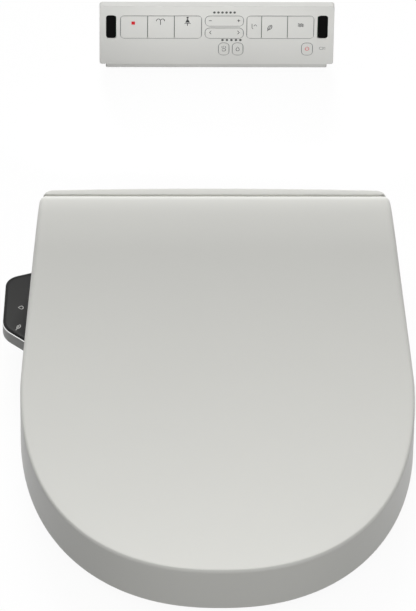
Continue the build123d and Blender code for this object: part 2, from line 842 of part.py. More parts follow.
def build_nozzle_frame():
    """The inclined bed: base plate, two cradles, a front guide, motor posts and legs to the tray."""
    low = -frame_drop - frame_plate
    end = wand_length + 2
    base = block((-frame_half_width, frame_start, low), (frame_half_width, end, -frame_drop), 4)
    cradle_half = wand_spacing / 2 + wand_radius + 1
    cradle_top = -gear_face / 2 - 0.4
    frame = base + block((-cradle_half, frame_start, -frame_drop), (cradle_half, end, cradle_top))
    guide_half = cradle_half + guide_wall + 3
    frame += block((-guide_half, frame_start, -frame_drop), (guide_half, frame_start + guide_length,
                                                             wand_radius + guide_wall))
    x, y = pinion_x(), pinion_place
    for side in (1, -1):
        for place in (y - motor_radius - 3, y + motor_radius + 3):
            frame += rod(3, (side * x, place, -frame_drop), (side * x, place, motor_lift))
        frame -= rod(shaft_radius + shaft_gap, (side * x, y, low + 1 - rest_gap), (side * x, y, 0))
        frame -= along(wand_radius + slide_gap, wand_x(side), -10, end + 1)
        frame -= rack_room(side, slide_gap)
    frame = on_incline(frame)
    floor = tray_bottom + tray_wall
    slant = Plane(incline.origin + incline.z_dir * (low + 1), incline.x_dir, incline.z_dir)
    under = slant * (Pos(0, 0, -100) * Box(400, 600, 200))
    for leg_x in (-frame_half_width + 8, frame_half_width - 8):
        front_leg = block((leg_x - 5, unit_front_y + 9, floor), (leg_x + 5, unit_front_y + 15, 90))
        rear_leg = block((leg_x - 5, -14, pocket_roof_z()), (leg_x + 5, -6, 90))
        frame += (front_leg & under) + (rear_leg & under)
    return frame


# ---- washing unit: what it holds ----
def build_water_heater():
    """The warm-water tank: a ribbed box with two nipples on top and a drain spout to the side wall."""
    floor = tray_bottom + tray_wall
    (left, front), (right, rear) = heater_low, heater_high
    tank = block((left, front, floor), (right, rear, heater_top), 6)
    tank = fillet(tank.edges().group_by(Axis.Z)[-1], 3)
    for number in range(5):
        rib_x = left + 12 + number * (right - left - 24) / 4
        tank += block((rib_x - 1, front + 3, heater_top - 1), (rib_x + 1, rear - 3, heater_top + 2))
    middle = (front + rear) / 2
    for nipple_x in (left + 5, right - 5):
        tank += rod(3.5, (nipple_x, middle, heater_top - 1), (nipple_x, middle, heater_top + 10))
    spout_end = drain_inner_x()
    tank += rod(drain_radius - 2, (right - 1, drain_y, drain_z), (spout_end, drain_y, drain_z))
    return tank


def drain_inner_x():
    return half_width(drain_y, tray_inset) - drain_depth


def build_drain_plug():
    """A quarter-turn plug in the side wall, with a coin slot."""
    outer_x = half_width(drain_y, tray_inset)
    start, end = drain_inner_x() + rest_gap, outer_x + 0.4
    plug = rod(drain_radius, (start, drain_y, drain_z), (end, drain_y, drain_z))
    slot = block((outer_x - 1.8, drain_y - drain_radius + 2, drain_z - 0.9),
                 (outer_x + 2, drain_y + drain_radius - 2, drain_z + 0.9))
    return plug - slot


def build_release_button():
    """The push button in the side wall that frees the unit from its plate."""
    outer_x = half_width(button_y, tray_inset)
    inner_x = half_width(button_y, tray_inset + tray_wall) - rest_gap - button_flange - 0.6
    cap, flange, stem = [
        rod(radius, (start, button_y, button_z), (end, button_y, button_z))
        for radius, start, end in (
            (button_radius, inner_x, outer_x + button_proud),
            (button_radius + 2.5, inner_x, inner_x + button_flange),
            (3, inner_x - 8, inner_x),
        )
    ]
    cap = fillet(cap.edges().filter_by(GeomType.CIRCLE).sort_by(Axis.X)[-1:], 0.8)
    return cap + flange + stem


def build_fan_housing():
    """The odour fan's scroll, open below its lid to the filter through a square duct."""
    low = pocket_roof_z()
    high = low + fan_height
    outer = rod(fan_radius, (fan_x, fan_y, low), (fan_x, fan_y, high))
    duct = block((fan_x, fan_y - 12, low), (filter_inner_x - rest_gap, fan_y + 12, low + 16))
    room = rod(fan_radius - fan_wall, (fan_x, fan_y, low + fan_wall), (fan_x, fan_y, high - fan_wall))
    duct_room = block((fan_x, fan_y - 12 + fan_wall, low + fan_wall),
                      (filter_inner_x, fan_y + 12 - fan_wall, low + 16 - fan_wall))
    motor = rod(9, (fan_x, fan_y, high - 1), (fan_x, fan_y, high + 9))
    shaft_hole = rod(shaft_radius + shaft_gap, (fan_x, fan_y, high - fan_wall - 1), (fan_x, fan_y, high + 6))
    return outer + duct + motor - room - duct_room - shaft_hole


def build_impeller():
    """A squirrel-cage rotor: back plate, hub, blades and a rim ring."""
    low = pocket_roof_z() + fan_wall + impeller_gap
    high = pocket_roof_z() + fan_height - fan_wall - impeller_gap
    radius = fan_radius - fan_wall - impeller_gap
    rotor = rod(radius, (0, 0, high - 1.5), (0, 0, high)) + rod(5, (0, 0, high - 8), (0, 0, high))
    rotor += rod(radius, (0, 0, low), (0, 0, low + 1.5)) - rod(radius - 4, (0, 0, low - 1), (0, 0, low + 3))
    for number in range(fan_blades):
        blade = Pos(radius - 2, 0, (low + high) / 2) * Rot(0, 0, 25) * Box(3.6, 0.9, high - low)
        rotor += Rot(0, 0, number * 360 / fan_blades) * blade
    rotor += rod(shaft_radius, (0, 0, high), (0, 0, pocket_roof_z() + fan_height + 5))
    return Pos(fan_x, fan_y, 0) * rotor


def filter_base():
    return tray_bottom + tray_wall + rest_gap


def filter_room():
    """The opening in the side wall for the odour filter."""
    return block((filter_inner_x + 20, filter_front_y - slide_gap, filter_base() - slide_gap),
                 (250, filter_rear_y + slide_gap, filter_base() + filter_height + slide_gap))


def build_filter():
    """The odour filter's tray: a handle face that follows the side wall, and a slatted cartridge."""
    low = filter_base()
    high = low + filter_height
    body = block((filter_inner_x, filter_front_y, low), (250, filter_rear_y, high))
    body &= plan_body(tray_inset, unit_rear_y, 0, 60)
    inner_end = half_width(filter_rear_y, tray_inset) - 6
    for number in range(5):
        slot_y = filter_front_y + 5 + number * (filter_rear_y - filter_front_y - 10) / 4
        body -= block((filter_inner_x + 4, slot_y - 1.4, low - 1), (inner_end - 4, slot_y + 1.4, high + 1))
    grip_y = (filter_front_y + filter_rear_y) / 2
    body -= block((inner_end + 2.5, grip_y - 10, high - 9), (250, grip_y + 10, high - 3))
    return body


def build_inlet_fitting():
    """The threaded water spigot in the rear bay, with its hexagon and its bore."""
    x = (notch_x[0] + notch_x[1]) / 2
    wall_y = unit_rear_y - notch_depth
    body = rod(spigot_radius, (x, wall_y - tray_wall, spigot_z), (x, wall_y + spigot_length, spigot_z))
    hexagon = extrude(RegularPolygon(spigot_radius + 3, 6), 3)
    hexagon = Plane(origin=(x, wall_y, spigot_z), z_dir=(0, 1, 0)) * hexagon
    bore = rod(spigot_bore, (x, wall_y - tray_wall - 1, spigot_z), (x, wall_y + spigot_length + 1, spigot_z))
    return body + hexagon - bore


def build_inlet_valve():
    """The solenoid valve behind the inlet, with its coil and outlet nipple."""
    x = (notch_x[0] + notch_x[1]) / 2
    wall_y = unit_rear_y - notch_depth - tray_wall
    floor = tray_bottom + tray_wall
    body = block((x - 12, wall_y - 24, floor), (x + 12, wall_y, spigot_z + 10), 3)
    coil = rod(8.5, (x, wall_y - 12, spigot_z + 9), (x, wall_y - 12, spigot_z + 22))
    nipple = rod(3.5, (x - 20, wall_y - 12, spigot_z - 4), (x - 11, wall_y - 12, spigot_z - 4))
    mouth = rod(spigot_bore, (x, wall_y - 8, spigot_z), (x, wall_y + 1, spigot_z))
    return body + coil + nipple - mouth


def build_gland():
    """The bushing where the supply lead enters the other rear bay."""
    x = -(notch_x[0] + notch_x[1]) / 2
    wall_y = unit_rear_y - notch_depth
    body = rod(gland_radius, (x, wall_y - tray_wall, spigot_z), (x, wall_y, spigot_z))
    collar = rod(gland_radius + 2, (x, wall_y, spigot_z), (x, wall_y + gland_length, spigot_z))
    collar = fillet(collar.edges().filter_by(GeomType.CIRCLE).sort_by(Axis.Y)[-1:], 2)
    return body + collar - rod(gland_bore, (x, wall_y - 10, spigot_z), (x, wall_y + 20, spigot_z))


def build_flow_diverter():
    """The rotary valve that sends the water to one nozzle or the other, with its small motor on top."""
    low = pocket_roof_z()
    x, y = 0, 33
    body = rod(14, (x, y, low), (x, y, low + 20)) + rod(11, (x, y, low + 20), (x, y, low + 38))
    body += block((x - 20, y - 7, low), (x + 20, y + 7, low + 5), 3)
    for number in range(3):
        nipple_x = x - 9 + number * 9
        body += rod(2.8, (nipple_x, y - 22, low + 12), (nipple_x, y - 9, low + 12))
    return body


def build_main_board():
    """The control board with its relays, capacitors, connectors and processor."""
    (left, front), (right, rear) = board_low, board_high
    top = board_z + pcb_thickness
    board = block((left, front, board_z), (right, rear, top), 3)
    parts = ((12, 14, 18, 14, 12), (36, 14, 18, 14, 12), (66, 18, 22, 20, 10), (16, 44, 12, 26, 9),
             (44, 48, 16, 16, 2.5), (74, 52, 10, 24, 8))
    for x, y, width, depth, height in parts:
        corner = (left + x, front + y - depth / 2)
        board += block((*corner, top), (corner[0] + width, corner[1] + depth, top + height))
    for x, y in ((34, 34), (62, 36), (62, 66)):
        board += rod(4, (left + x, front + y, top), (left + x, front + y, top + 13))
    return board


def build_power_supply():
    """The mains transformer: laminated core, winding and end plates."""
    (left, front), (right, rear) = supply_low, supply_high
    floor = tray_bottom + tray_wall
    core = block((left, front + 8, floor), (right, rear - 8, supply_top), 1)
    coil = block((left + 7, front, floor + 5), (right - 7, rear, supply_top - 5), 4)
    return core + coil


# ---- control arm ----
def arm_rear_x():
    return -half_width(arm_rear_y) - arm_rear_reach


def arm_front_x():
    return -half_width(arm_front_y) - arm_front_reach


def arm_plan(margin=0.0):
    """The arm's outline in plan, closed by the unit's side."""
    rear_x, front_x = arm_rear_x(), arm_front_x()
    root_x = -half_width(arm_front_y, tray_inset)
    rear_root = arm_rear_y + (root_x - rear_x) * math.tan(math.radians(arm_rear_slope))
    front_root = arm_front_y - (root_x - front_x) * math.tan(math.radians(arm_front_slope))
    inner_x = -half_width(hinge_y, tray_inset) + 3
    corners = [(inner_x, rear_root), (root_x, rear_root), (rear_x, arm_rear_y), (front_x, arm_front_y),
               (root_x, front_root), (inner_x, front_root)]
    plan = make_face(Polyline(*corners, close=True))
    rounded = plan.vertices().sort_by(Axis.X)
    plan = fillet([rounded[0]], arm_front_radius)
    rear_vertex = [v for v in plan.vertices() if abs(v.X - rear_x) < 0.01 and abs(v.Y - arm_rear_y) < 0.01]
    plan = fillet(rear_vertex, arm_rear_radius)
    return offset(plan, -margin) if margin else plan


def arm_layer(margin, low, high):
    layer = Pos(0, 0, low) * extrude(arm_plan(margin), high - low)
    return layer - plan_body(tray_inset, unit_rear_y, low - 1, high + 1)


def arm_trim_z():
    return arm_top - panel_thickness - trim_height


def outside_unit(edges):
    """The edges of the arm that don't lie along the unit's side."""
    return [e for e in edges if (e @ 0.5).X < -half_width((e @ 0.5).Y) - 1]


def build_arm():
    """The arm's grey body: a shallow tub, open below the panel."""
    body = arm_layer(0, arm_bottom, arm_trim_z())
    body = fillet(outside_unit(body.edges().group_by(Axis.Z)[0]), 2.0)
    return body - arm_layer(arm_wall, arm_bottom + arm_wall, arm_top)


def build_trim():
    """The bright frame between the arm and its panel."""
    return arm_layer(0, arm_trim_z(), arm_trim_z() + trim_height) - arm_layer(arm_wall, 0, arm_top)


def build_control_panel():
    """The smooth dark panel with its touch points."""
    panel = arm_layer(panel_margin, arm_top - panel_thickness, arm_top)
    return fillet(outside_unit(panel.edges().group_by(Axis.Z)[-1]), 0.6)


def build_panel_board():
    """The small board under the panel, on the arm's floor."""
    low = arm_bottom + arm_wall
    top = low + pcb_thickness
    outer_x = arm_front_x() + 10
    inner_x = -half_width(arm_front_y) - 2
    board = block((outer_x, arm_front_y + 18, low), (inner_x, arm_rear_y - 20, top), 1)
    for number in range(2):
        y = arm_front_y + 32 + number * 18
        board += block((outer_x + 2, y - 5, top), (outer_x + 10, y + 5, arm_trim_z() + trim_height))
    return board


# ---- mounting plate ----
def build_plate():
    """The plate bolted to the bowl: a neck and a wider flange that the unit slides over."""
    neck, flange = [
        block((-half, plate_front_y, low), (half, plate_rear_y, plate_top))
        for half, low in ((plate_neck_half_width, 0), (plate_half_width, plate_neck_z))
    ]
    plate = neck + flange
    for x in (-bolt_spacing / 2, bolt_spacing / 2):
        plate -= rod(adjuster_radius + rest_gap, (x, 0, -1), (x, 0, 10))
        plate -= rod(adjuster_rim_radius + rest_gap, (x, 0, adjuster_step), (x, 0, 10))
    plate -= block((-22, plate_front_y + 10, -1), (22, plate_front_y + 30, 10), 4)
    plate -= block((-22, plate_rear_y - 30, -1), (22, plate_rear_y - 10, 10), 4)
    return plate


def build_adjusters():
    """The two round bushings that seat in the plate and take the deck bolts."""
    pieces = []
    for x in (-bolt_spacing / 2, bolt_spacing / 2):
        disc = rod(adjuster_radius, (x, 0, 0), (x, 0, adjuster_step))
        disc += rod(adjuster_rim_radius, (x, 0, adjuster_step), (x, 0, adjuster_height))
        disc -= rod(bolt_radius, (x, 0, -1), (x, 0, 10))
        pieces.append(disc)
    return Compound(pieces)


# ---- remote ----
def on_face(u, up, depth):
    """A point of the remote, from its centre line, its foot and its face."""
    return (remote_x + u, remote_face_y + depth, remote_foot + up)


def face_block(cell, start, end, radius=0.0):
    """A block behind the remote's face: cell is left, right, low, high; its front corners are rounded."""
    left, right, low, high = cell
    solid = block(on_face(left, low, start), on_face(right, high, end))
    return fillet(solid.edges().filter_by(Axis.Y), radius) if radius else solid


def face_rod(radius, u, up, start, end):
    return rod(radius, on_face(u, up, start), on_face(u, up, end))


def key_cell(left, right, row):
    """A key's cell: its sides are given as shares of half the remote's width."""
    return (left * remote_width / 2, right * remote_width / 2) + row


left_columns = (-0.822, -0.590, -0.3625, -0.130)
right_columns = (0.256, 0.382, 0.603, 0.827)
rocker_columns = (-0.0995, 0.227)
keys = {
    "stop_key": key_cell(*left_columns[0:2], key_row),
    "rear_wash_key": key_cell(*left_columns[1:3], key_row),
    "front_wash_key": key_cell(*left_columns[2:4], key_row),
    "pressure_rocker": key_cell(*rocker_columns, upper_rocker_row),
    "position_rocker": key_cell(*rocker_columns, lower_rocker_row),
    "nozzle_clean_key": key_cell(*right_columns[0:2], key_row),
    "power_save_key": key_cell(*right_columns[1:3], key_row),
    "massage_key": key_cell(*right_columns[2:4], key_row),
    "seat_heat_key": key_cell(0.0168, 0.1067, small_row),
    "water_heat_key": key_cell(0.1347, 0.2261, small_row),
    "power_key": key_cell(0.7273, 0.8204, small_row),
}
key_groups = {
    "left": key_cell(left_columns[0], left_columns[-1], key_row),
    "right": key_cell(right_columns[0], right_columns[-1], key_row),
}
key_ends = {
    "stop_key": (key_corner, 0), "rear_wash_key": (0, 0), "front_wash_key": (0, key_corner),
    "nozzle_clean_key": (key_corner, 0), "power_save_key": (0, 0), "massage_key": (0, key_corner),
    "seat_heat_key": (small_corner, small_corner), "water_heat_key": (small_corner, small_corner),
    "power_key": (small_corner, small_corner),
    "pressure_rocker": (rocker_corner, rocker_corner), "position_rocker": (rocker_corner, rocker_corner),
}


def battery_x():
    return battery_inset - remote_width / 2


def key_plate(name, start, end):
    """A key's cap, its left and right corners rounded by the radii in key_ends."""
    left, right, low, high = keys[name]
    cap = face_block((left + key_gap, right - key_gap, low + key_gap, high - key_gap), start, end)
    middle = remote_x + (left + right) / 2
    for side, radius in zip((-1, 1), key_ends[name]):
        if radius:
            corners = [e for e in cap.edges().filter_by(Axis.Y) if side * ((e @ 0.5).X - middle) > 0]
            cap = fillet(corners, radius)
    return cap


def window_cells():
    half = window_width / 2
    place = remote_width / 2 - window_inset
    return [(side * place - half, side * place + half) + window_row for side in (-1, 1)]


def led_places():
    upper = [(-2.6 + number * 4.26, 66.4) for number in range(6)]
    lower = [(5.8 + number * 4.67, 30.9) for number in range(5)]
    return upper + lower


def build_remote_front():
    half = remote_width / 2
    shell = face_block((-half, half, 0, remote_height), 0, remote_rim, remote_corner)
    shell = fillet(shell.edges().group_by(Axis.Y)[0], 0.6)
    inner = (remote_wall - half, half - remote_wall, remote_wall, remote_height - remote_wall)
    shell -= face_block(inner, remote_wall, remote_rim + 1, remote_corner - 1)
    for cell in key_groups.values():
        shell -= face_block(cell, -1, remote_wall + 1, key_corner + key_gap)
    for name, (radius, _) in key_ends.items():
        if radius > key_corner:
            shell -= face_block(keys[name], -1, remote_wall + 1, radius + key_gap)
    for cell in window_cells():
        shell -= face_block(cell, -1, remote_wall + 1, 2.0)
    for u, up in led_places():
        shell -= face_rod(led_radius, u, up, -1, remote_wall + 1)
    return shell


def build_remote_back():
    """The rear shell: narrower than the face, its edges cut at 45 degrees, with the battery bay."""
    half, top = remote_width / 2 - back_setback, remote_height - back_foot
    outer = face_block((-half, half, back_foot, top), remote_rim, remote_depth)
    outer = chamfer(outer.edges().group_by(Axis.Y)[-1], back_chamfer)
    inner = (remote_wall - half, half - remote_wall, back_foot + remote_wall, top - remote_wall)
    hollow = face_block(inner, remote_rim - 1, remote_depth - remote_wall)
    hollow = chamfer(hollow.edges().group_by(Axis.Y)[-1], back_chamfer - remote_wall / 2)
    shell = outer - hollow
    low, high = battery_z - door_height / 2, battery_z + door_height / 2
    left, right = battery_x() - door_width / 2, battery_x() + door_width / 2
    track = (left - slide_gap, right + door_travel + slide_gap, low - slide_gap, high + slide_gap)
    shell -= face_block(track, remote_depth - door_recess - door_thickness - rest_gap, remote_depth + 1)
    bay = (left + 4, right - 4, low + 2, high - 2)
    return shell - face_block(bay, remote_rim - 1, remote_depth + 1)


def build_battery_door():
    """The cover that slides along its track behind the batteries."""
    low, high = battery_z - door_height / 2, battery_z + door_height / 2
    left, right = battery_x() - door_width / 2, battery_x() + door_width / 2
    rear = remote_depth - door_recess
    door = face_block((left, right, low, high), rear - door_thickness, rear)
    for number in range(4):
        grip = left + 6 + number * 3
        door -= face_block((grip, grip + 1.2, low + 6, high - 6), rear - 0.5, rear + 1)
    return door


def build_batteries():
    pieces = []
    for row in (-1, 1):
        up = battery_z + row * (battery_radius + 0.15)
        depth = remote_depth - door_recess - door_thickness - rest_gap - battery_radius
        start, end = battery_x() - battery_length / 2, battery_x() + battery_length / 2
        cell = rod(battery_radius, on_face(start, up, depth), on_face(end - 0.8, up, depth))
        pieces.append(cell + rod(1.9, on_face(start, up, depth), on_face(end, up, depth)))
    return Compound(pieces)


def build_remote_board():
    half = remote_width / 2 - remote_wall - 3
    board = face_block((-half, half, 5, remote_height - 5), pcb_depth, pcb_depth + pcb_thickness)
    left, right = battery_x() - door_width / 2, battery_x() + door_width / 2
    battery_cell = (left, right, 0, battery_z + door_height / 2)
    board -= face_block(battery_cell, 0, remote_depth)
    for u in (-half + 4, half - 4):
        for up in (10, remote_height - 10):
            board += face_rod(2, u, up, remote_wall, pcb_depth)
    return board


def build_windows():
    return Compound([face_block(cell, 0, remote_wall + 0.6, 2.0) for cell in window_cells()])


def build_leds():
    return Compound([face_rod(led_radius, u, up, 0.1, remote_wall) for u, up in led_places()])


def build_key(name):
    """A key cap that fills its cell, with the stem that meets the board below."""
    cap = key_plate(name, -key_proud, remote_wall)
    cap = fillet(cap.edges().group_by(Axis.Y)[0], 0.3)
    left, right, low, high = keys[name]
    u, up = (left + right) / 2, (low + high) / 2
    return cap + face_rod(key_stem_radius, u, up, remote_wall, pcb_depth - key_travel - rest_gap)


def build_rocker(name):
    """A key that tilts to either end on a middle pivot, with a stem at each end."""
    cap = key_plate(name, -key_proud, remote_wall)
    cap = fillet(cap.edges().group_by(Axis.Y)[0], 0.3)
    left, right, low, high = keys[name]
    middle = (left + right) / 2
    ends = on_face(middle, low + 1, remote_wall), on_face(middle, high - 1, remote_wall)
    pivot = rod(rocker_pivot_radius, *ends)
    for u in (left + 6, right - 6):
        cap += face_rod(key_stem_radius, u, (low + high) / 2, remote_wall, pcb_depth - rocker_stroke)
    return cap + pivot


def build_holder():
    """The bracket: a foot with the lip that the remote stands on, cheeks and a back plate for two screws."""
    front = remote_face_y + holder_setback
    back = remote_face_y + remote_depth + holder_play
    half = remote_width / 2 - holder_inset
    left, right = remote_x - half, remote_x + half
    holder = block((left, front, 0), (right, back + holder_wall, holder_wall))
    holder += block((left, front, 0), (right, front + holder_wall, remote_foot - rest_gap))
    holder = fillet([e for e in holder.edges().filter_by(Axis.Z) if (e @ 0.5).Y < front + 0.01], 2)
    holder += block((left, back, 0), (right, back + holder_wall, holder_back_height))
    cheek_front = remote_face_y + remote_rim + rest_gap
    for side_x in (left, right - holder_wall):
        holder += block((side_x, cheek_front, 0), (side_x + holder_wall, back + 1, holder_cheek))
    for x in (remote_x - holder_screw_spacing / 2, remote_x + holder_screw_spacing / 2):
        ends = (x, back - 1, holder_screw_z), (x, back + holder_wall + 1, holder_screw_z)
        holder -= rod(holder_screw_radius, *ends)
    return holder


# ---- write every node ----
nodes = {
    "mounting_plate": build_plate(),
    "plate_adjusters": build_adjusters(),
    "remote_holder": build_holder(),
    "base_tray": build_tray(),
    "upper_cover": build_upper_cover(),
    "rear_cover": build_rear_cover(),
    "base_pads": build_pads(),
    "cover_screws": build_screws(),
    "hinge_pins": build_pins(),
    "seat_damper": build_damper(1),
    "lid_damper": build_damper(-1),
    "control_arm": build_arm(),
    "panel_trim": build_trim(),
    "control_panel": build_control_panel(),
    "panel_board": build_panel_board(),
    "main_board": build_main_board(),
    "power_supply": build_power_supply(),
    "water_heater": build_water_heater(),
    "inlet_valve": build_inlet_valve(),
    "inlet_fitting": build_inlet_fitting(),
    "cable_gland": build_gland(),
    "flow_diverter": build_flow_diverter(),
    "nozzle_frame": build_nozzle_frame(),
    "nozzle_motors": build_motors(),
    "fan_housing": build_fan_housing(),
    "fan_impeller": build_impeller(),
    "odour_filter": build_filter(),
    "release_button": build_release_button(),
    "drain_plug": build_drain_plug(),
    "rear_wand": build_wand(1),
    "front_wand": build_wand(-1),
    "rear_nozzle_tip": build_tip(1, 5),
    "front_nozzle_tip": build_tip(-1, 7),
    "rear_pinion": build_pinion(1),
    "front_pinion": build_pinion(-1),
    "lid_shell": build_lid(),
    "lid_bumpers": build_lid_bumpers(),
    "seat_heater": build_heater(),
    "seat_bumpers": build_seat_bumpers(),
    "remote_front": build_remote_front(),
    "remote_back": build_remote_back(),
    "battery_door": build_battery_door(),
    "batteries": build_batteries(),
    "remote_board": build_remote_board(),
    "remote_windows": build_windows(),
    "remote_leds": build_leds(),
}
nodes["seat_shell"], nodes["seat_base"] = build_seat()
for name in keys:
    nodes[name] = build_rocker(name) if name.endswith("rocker") else build_key(name)

for name, solid in nodes.items():
    export_step(solid, f"parts/{name}.step")
    print(name, round(solid.volume))
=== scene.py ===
import json
import math
import bmesh
import bpy
import numpy as np
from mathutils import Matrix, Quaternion, Vector


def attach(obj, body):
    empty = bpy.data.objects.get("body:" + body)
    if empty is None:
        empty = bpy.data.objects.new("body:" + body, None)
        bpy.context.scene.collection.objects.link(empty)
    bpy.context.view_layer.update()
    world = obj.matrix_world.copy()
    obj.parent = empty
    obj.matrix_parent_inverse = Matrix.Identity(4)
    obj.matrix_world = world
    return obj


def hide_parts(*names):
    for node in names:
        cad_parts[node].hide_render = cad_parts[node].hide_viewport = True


# Electric bidet seat. Metres, in the solids' own frame: -Y is the front, -X the side with the control arm.
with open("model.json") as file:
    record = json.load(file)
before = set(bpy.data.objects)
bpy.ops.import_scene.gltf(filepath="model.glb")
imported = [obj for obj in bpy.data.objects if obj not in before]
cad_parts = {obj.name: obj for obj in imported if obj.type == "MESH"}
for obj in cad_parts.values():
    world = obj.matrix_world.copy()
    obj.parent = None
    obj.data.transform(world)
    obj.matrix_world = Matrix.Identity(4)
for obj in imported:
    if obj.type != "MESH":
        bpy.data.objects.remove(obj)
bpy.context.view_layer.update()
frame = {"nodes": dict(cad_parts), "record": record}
nodes, record = frame["nodes"], frame["record"]
slotOf = {row["node"]: row["material_slot"] for row in record["subparts"]}
bodyOf = {node: body for body, members in record["behaviour"]["bodies"].items() for node in members}
scene = bpy.context.scene
mm = 0.001

cameraView = {"lens": 351.94, "elevation": 38.10, "azimuth": -1.147, "roll": 0.75, "distance": 5.9802,
              "target": (-0.00752, -0.05943, 0.050), "clipEnd": 50.0}


def placeCamera(view):
    # looks at target from distance away, by azimuth from the front and elevation, then turned by roll
    elevation, azimuth = math.radians(view["elevation"]), math.radians(view["azimuth"])
    back = Vector((math.sin(azimuth) * math.cos(elevation), -math.cos(azimuth) * math.cos(elevation),
                   math.sin(elevation)))
    camera = bpy.data.objects.new("camera", bpy.data.cameras.new("camera"))
    camera.data.lens = view["lens"]
    camera.data.clip_end = view["clipEnd"]
    camera.location = Vector(view["target"]) + back * view["distance"]
    turn = back.to_track_quat("Z", "Y") @ Quaternion((0, 0, 1), math.radians(view["roll"]))
    camera.rotation_euler = turn.to_euler()
    scene.collection.objects.link(camera)
    scene.camera = camera


placeCamera(cameraView)
print("camera placed")


def addNode(tree, kind, **settings):
    # a node with its inputs and properties set by name
    node = tree.nodes.new(kind)
    for name, value in settings.items():
        if name in node.inputs:
            node.inputs[name].default_value = value
        else:
            setattr(node, name, value)
    return node


def mathNode(tree, operation, first, second):
    # one sum on two values, each a socket or a number
    node = tree.nodes.new("ShaderNodeMath")
    node.operation = operation
    for slot, value in enumerate((first, second)):
        if isinstance(value, (int, float)):
            node.inputs[slot].default_value = value
        else:
            tree.links.new(value, node.inputs[slot])
    return node.outputs[0]


def newGroup(name, inputs, outputs):
    # an empty node group with named inputs and outputs
    tree = bpy.data.node_groups.new(name, "ShaderNodeTree")
    for label, kind, value in inputs:
        socket = tree.interface.new_socket(label, in_out="INPUT", socket_type="NodeSocket" + kind)
        if value is not None:
            socket.default_value = value
    for label, kind in outputs:
        tree.interface.new_socket(label, in_out="OUTPUT", socket_type="NodeSocket" + kind)
    return tree, tree.nodes.new("NodeGroupInput"), tree.nodes.new("NodeGroupOutput")


def makeMouldedSkin():
    # moulded plastic: a slow drift of tone over the piece, and the fine texture left by the mould
    tree, given, result = newGroup(
        "mouldedSkin",
        [("Colour", "Color", (0.8, 0.8, 0.8, 1)), ("Tone drift", "Float", 0.02),
         ("Drift scale", "Float", 9.0), ("Roughness", "Float", 0.4), ("Roughness drift", "Float", 0.06),
         ("Grain scale", "Float", 1400.0)],
        [("Colour", "Color"), ("Roughness", "Float"), ("Grain", "Float")])
    place = addNode(tree, "ShaderNodeTexCoord")
    slow = addNode(tree, "ShaderNodeTexNoise", Detail=3.0, Roughness=0.5)
    tree.links.new(place.outputs["Object"], slow.inputs["Vector"])
    tree.links.new(given.outputs["Drift scale"], slow.inputs["Scale"])
    grain = addNode(tree, "ShaderNodeTexNoise", Detail=2.0, Roughness=0.6)
    tree.links.new(place.outputs["Object"], grain.inputs["Vector"])
    tree.links.new(given.outputs["Grain scale"], grain.inputs["Scale"])
    centred = mathNode(tree, "SUBTRACT", slow.outputs["Fac"], 0.5)
    tone = mathNode(tree, "ADD", mathNode(tree, "MULTIPLY", centred, given.outputs["Tone drift"]), 1.0)
    scaled = addNode(tree, "ShaderNodeVectorMath", operation="SCALE")
    tree.links.new(given.outputs["Colour"], scaled.inputs[0])
    tree.links.new(tone, scaled.inputs["Scale"])
    tree.links.new(scaled.outputs[0], result.inputs["Colour"])
    wear = mathNode(tree, "MULTIPLY", mathNode(tree, "SUBTRACT", grain.outputs["Fac"], 0.5),
                    given.outputs["Roughness drift"])
    drift = mathNode(tree, "MULTIPLY", centred, given.outputs["Roughness drift"])
    tree.links.new(mathNode(tree, "ADD", mathNode(tree, "ADD", wear, drift), given.outputs["Roughness"]),
                   result.inputs["Roughness"])
    tree.links.new(grain.outputs["Fac"], result.inputs["Grain"])
    return tree


mouldedSkin = makeMouldedSkin()
materials = {}
plainLook = {
    "toneDrift": 0.03, "driftScale": 9.0, "roughnessDrift": 0.08, "grainScale": 1400.0, "grainStrength": 0.12,
    "grainDepth": 0.00003,
}


def mouldedMaterial(name, ownLook):
    # plainLook with a piece's own values, through the moulded skin
    look = {**plainLook, **ownLook}
    material = bpy.data.materials.new(name)
    material.use_nodes = True
    tree = material.node_tree
    shader = tree.nodes["Principled BSDF"]
    skin = addNode(tree, "ShaderNodeGroup", node_tree=mouldedSkin)
    skin.inputs["Colour"].default_value = (*look["colour"], 1)
    for socket, key in (("Tone drift", "toneDrift"), ("Drift scale", "driftScale"),
                        ("Roughness", "roughness"), ("Roughness drift", "roughnessDrift"),
                        ("Grain scale", "grainScale")):
        skin.inputs[socket].default_value = look[key]
    bump = addNode(tree, "ShaderNodeBump", Strength=look["grainStrength"], Distance=look["grainDepth"])
    tree.links.new(skin.outputs["Grain"], bump.inputs["Height"])
    tree.links.new(skin.outputs["Colour"], shader.inputs["Base Color"])
    tree.links.new(skin.outputs["Roughness"], shader.inputs["Roughness"])
    tree.links.new(bump.outputs["Normal"], shader.inputs["Normal"])
    for socket, value in look.get("shader", {}).items():
        shader.inputs[socket].default_value = value
    materials[name] = material
    return material


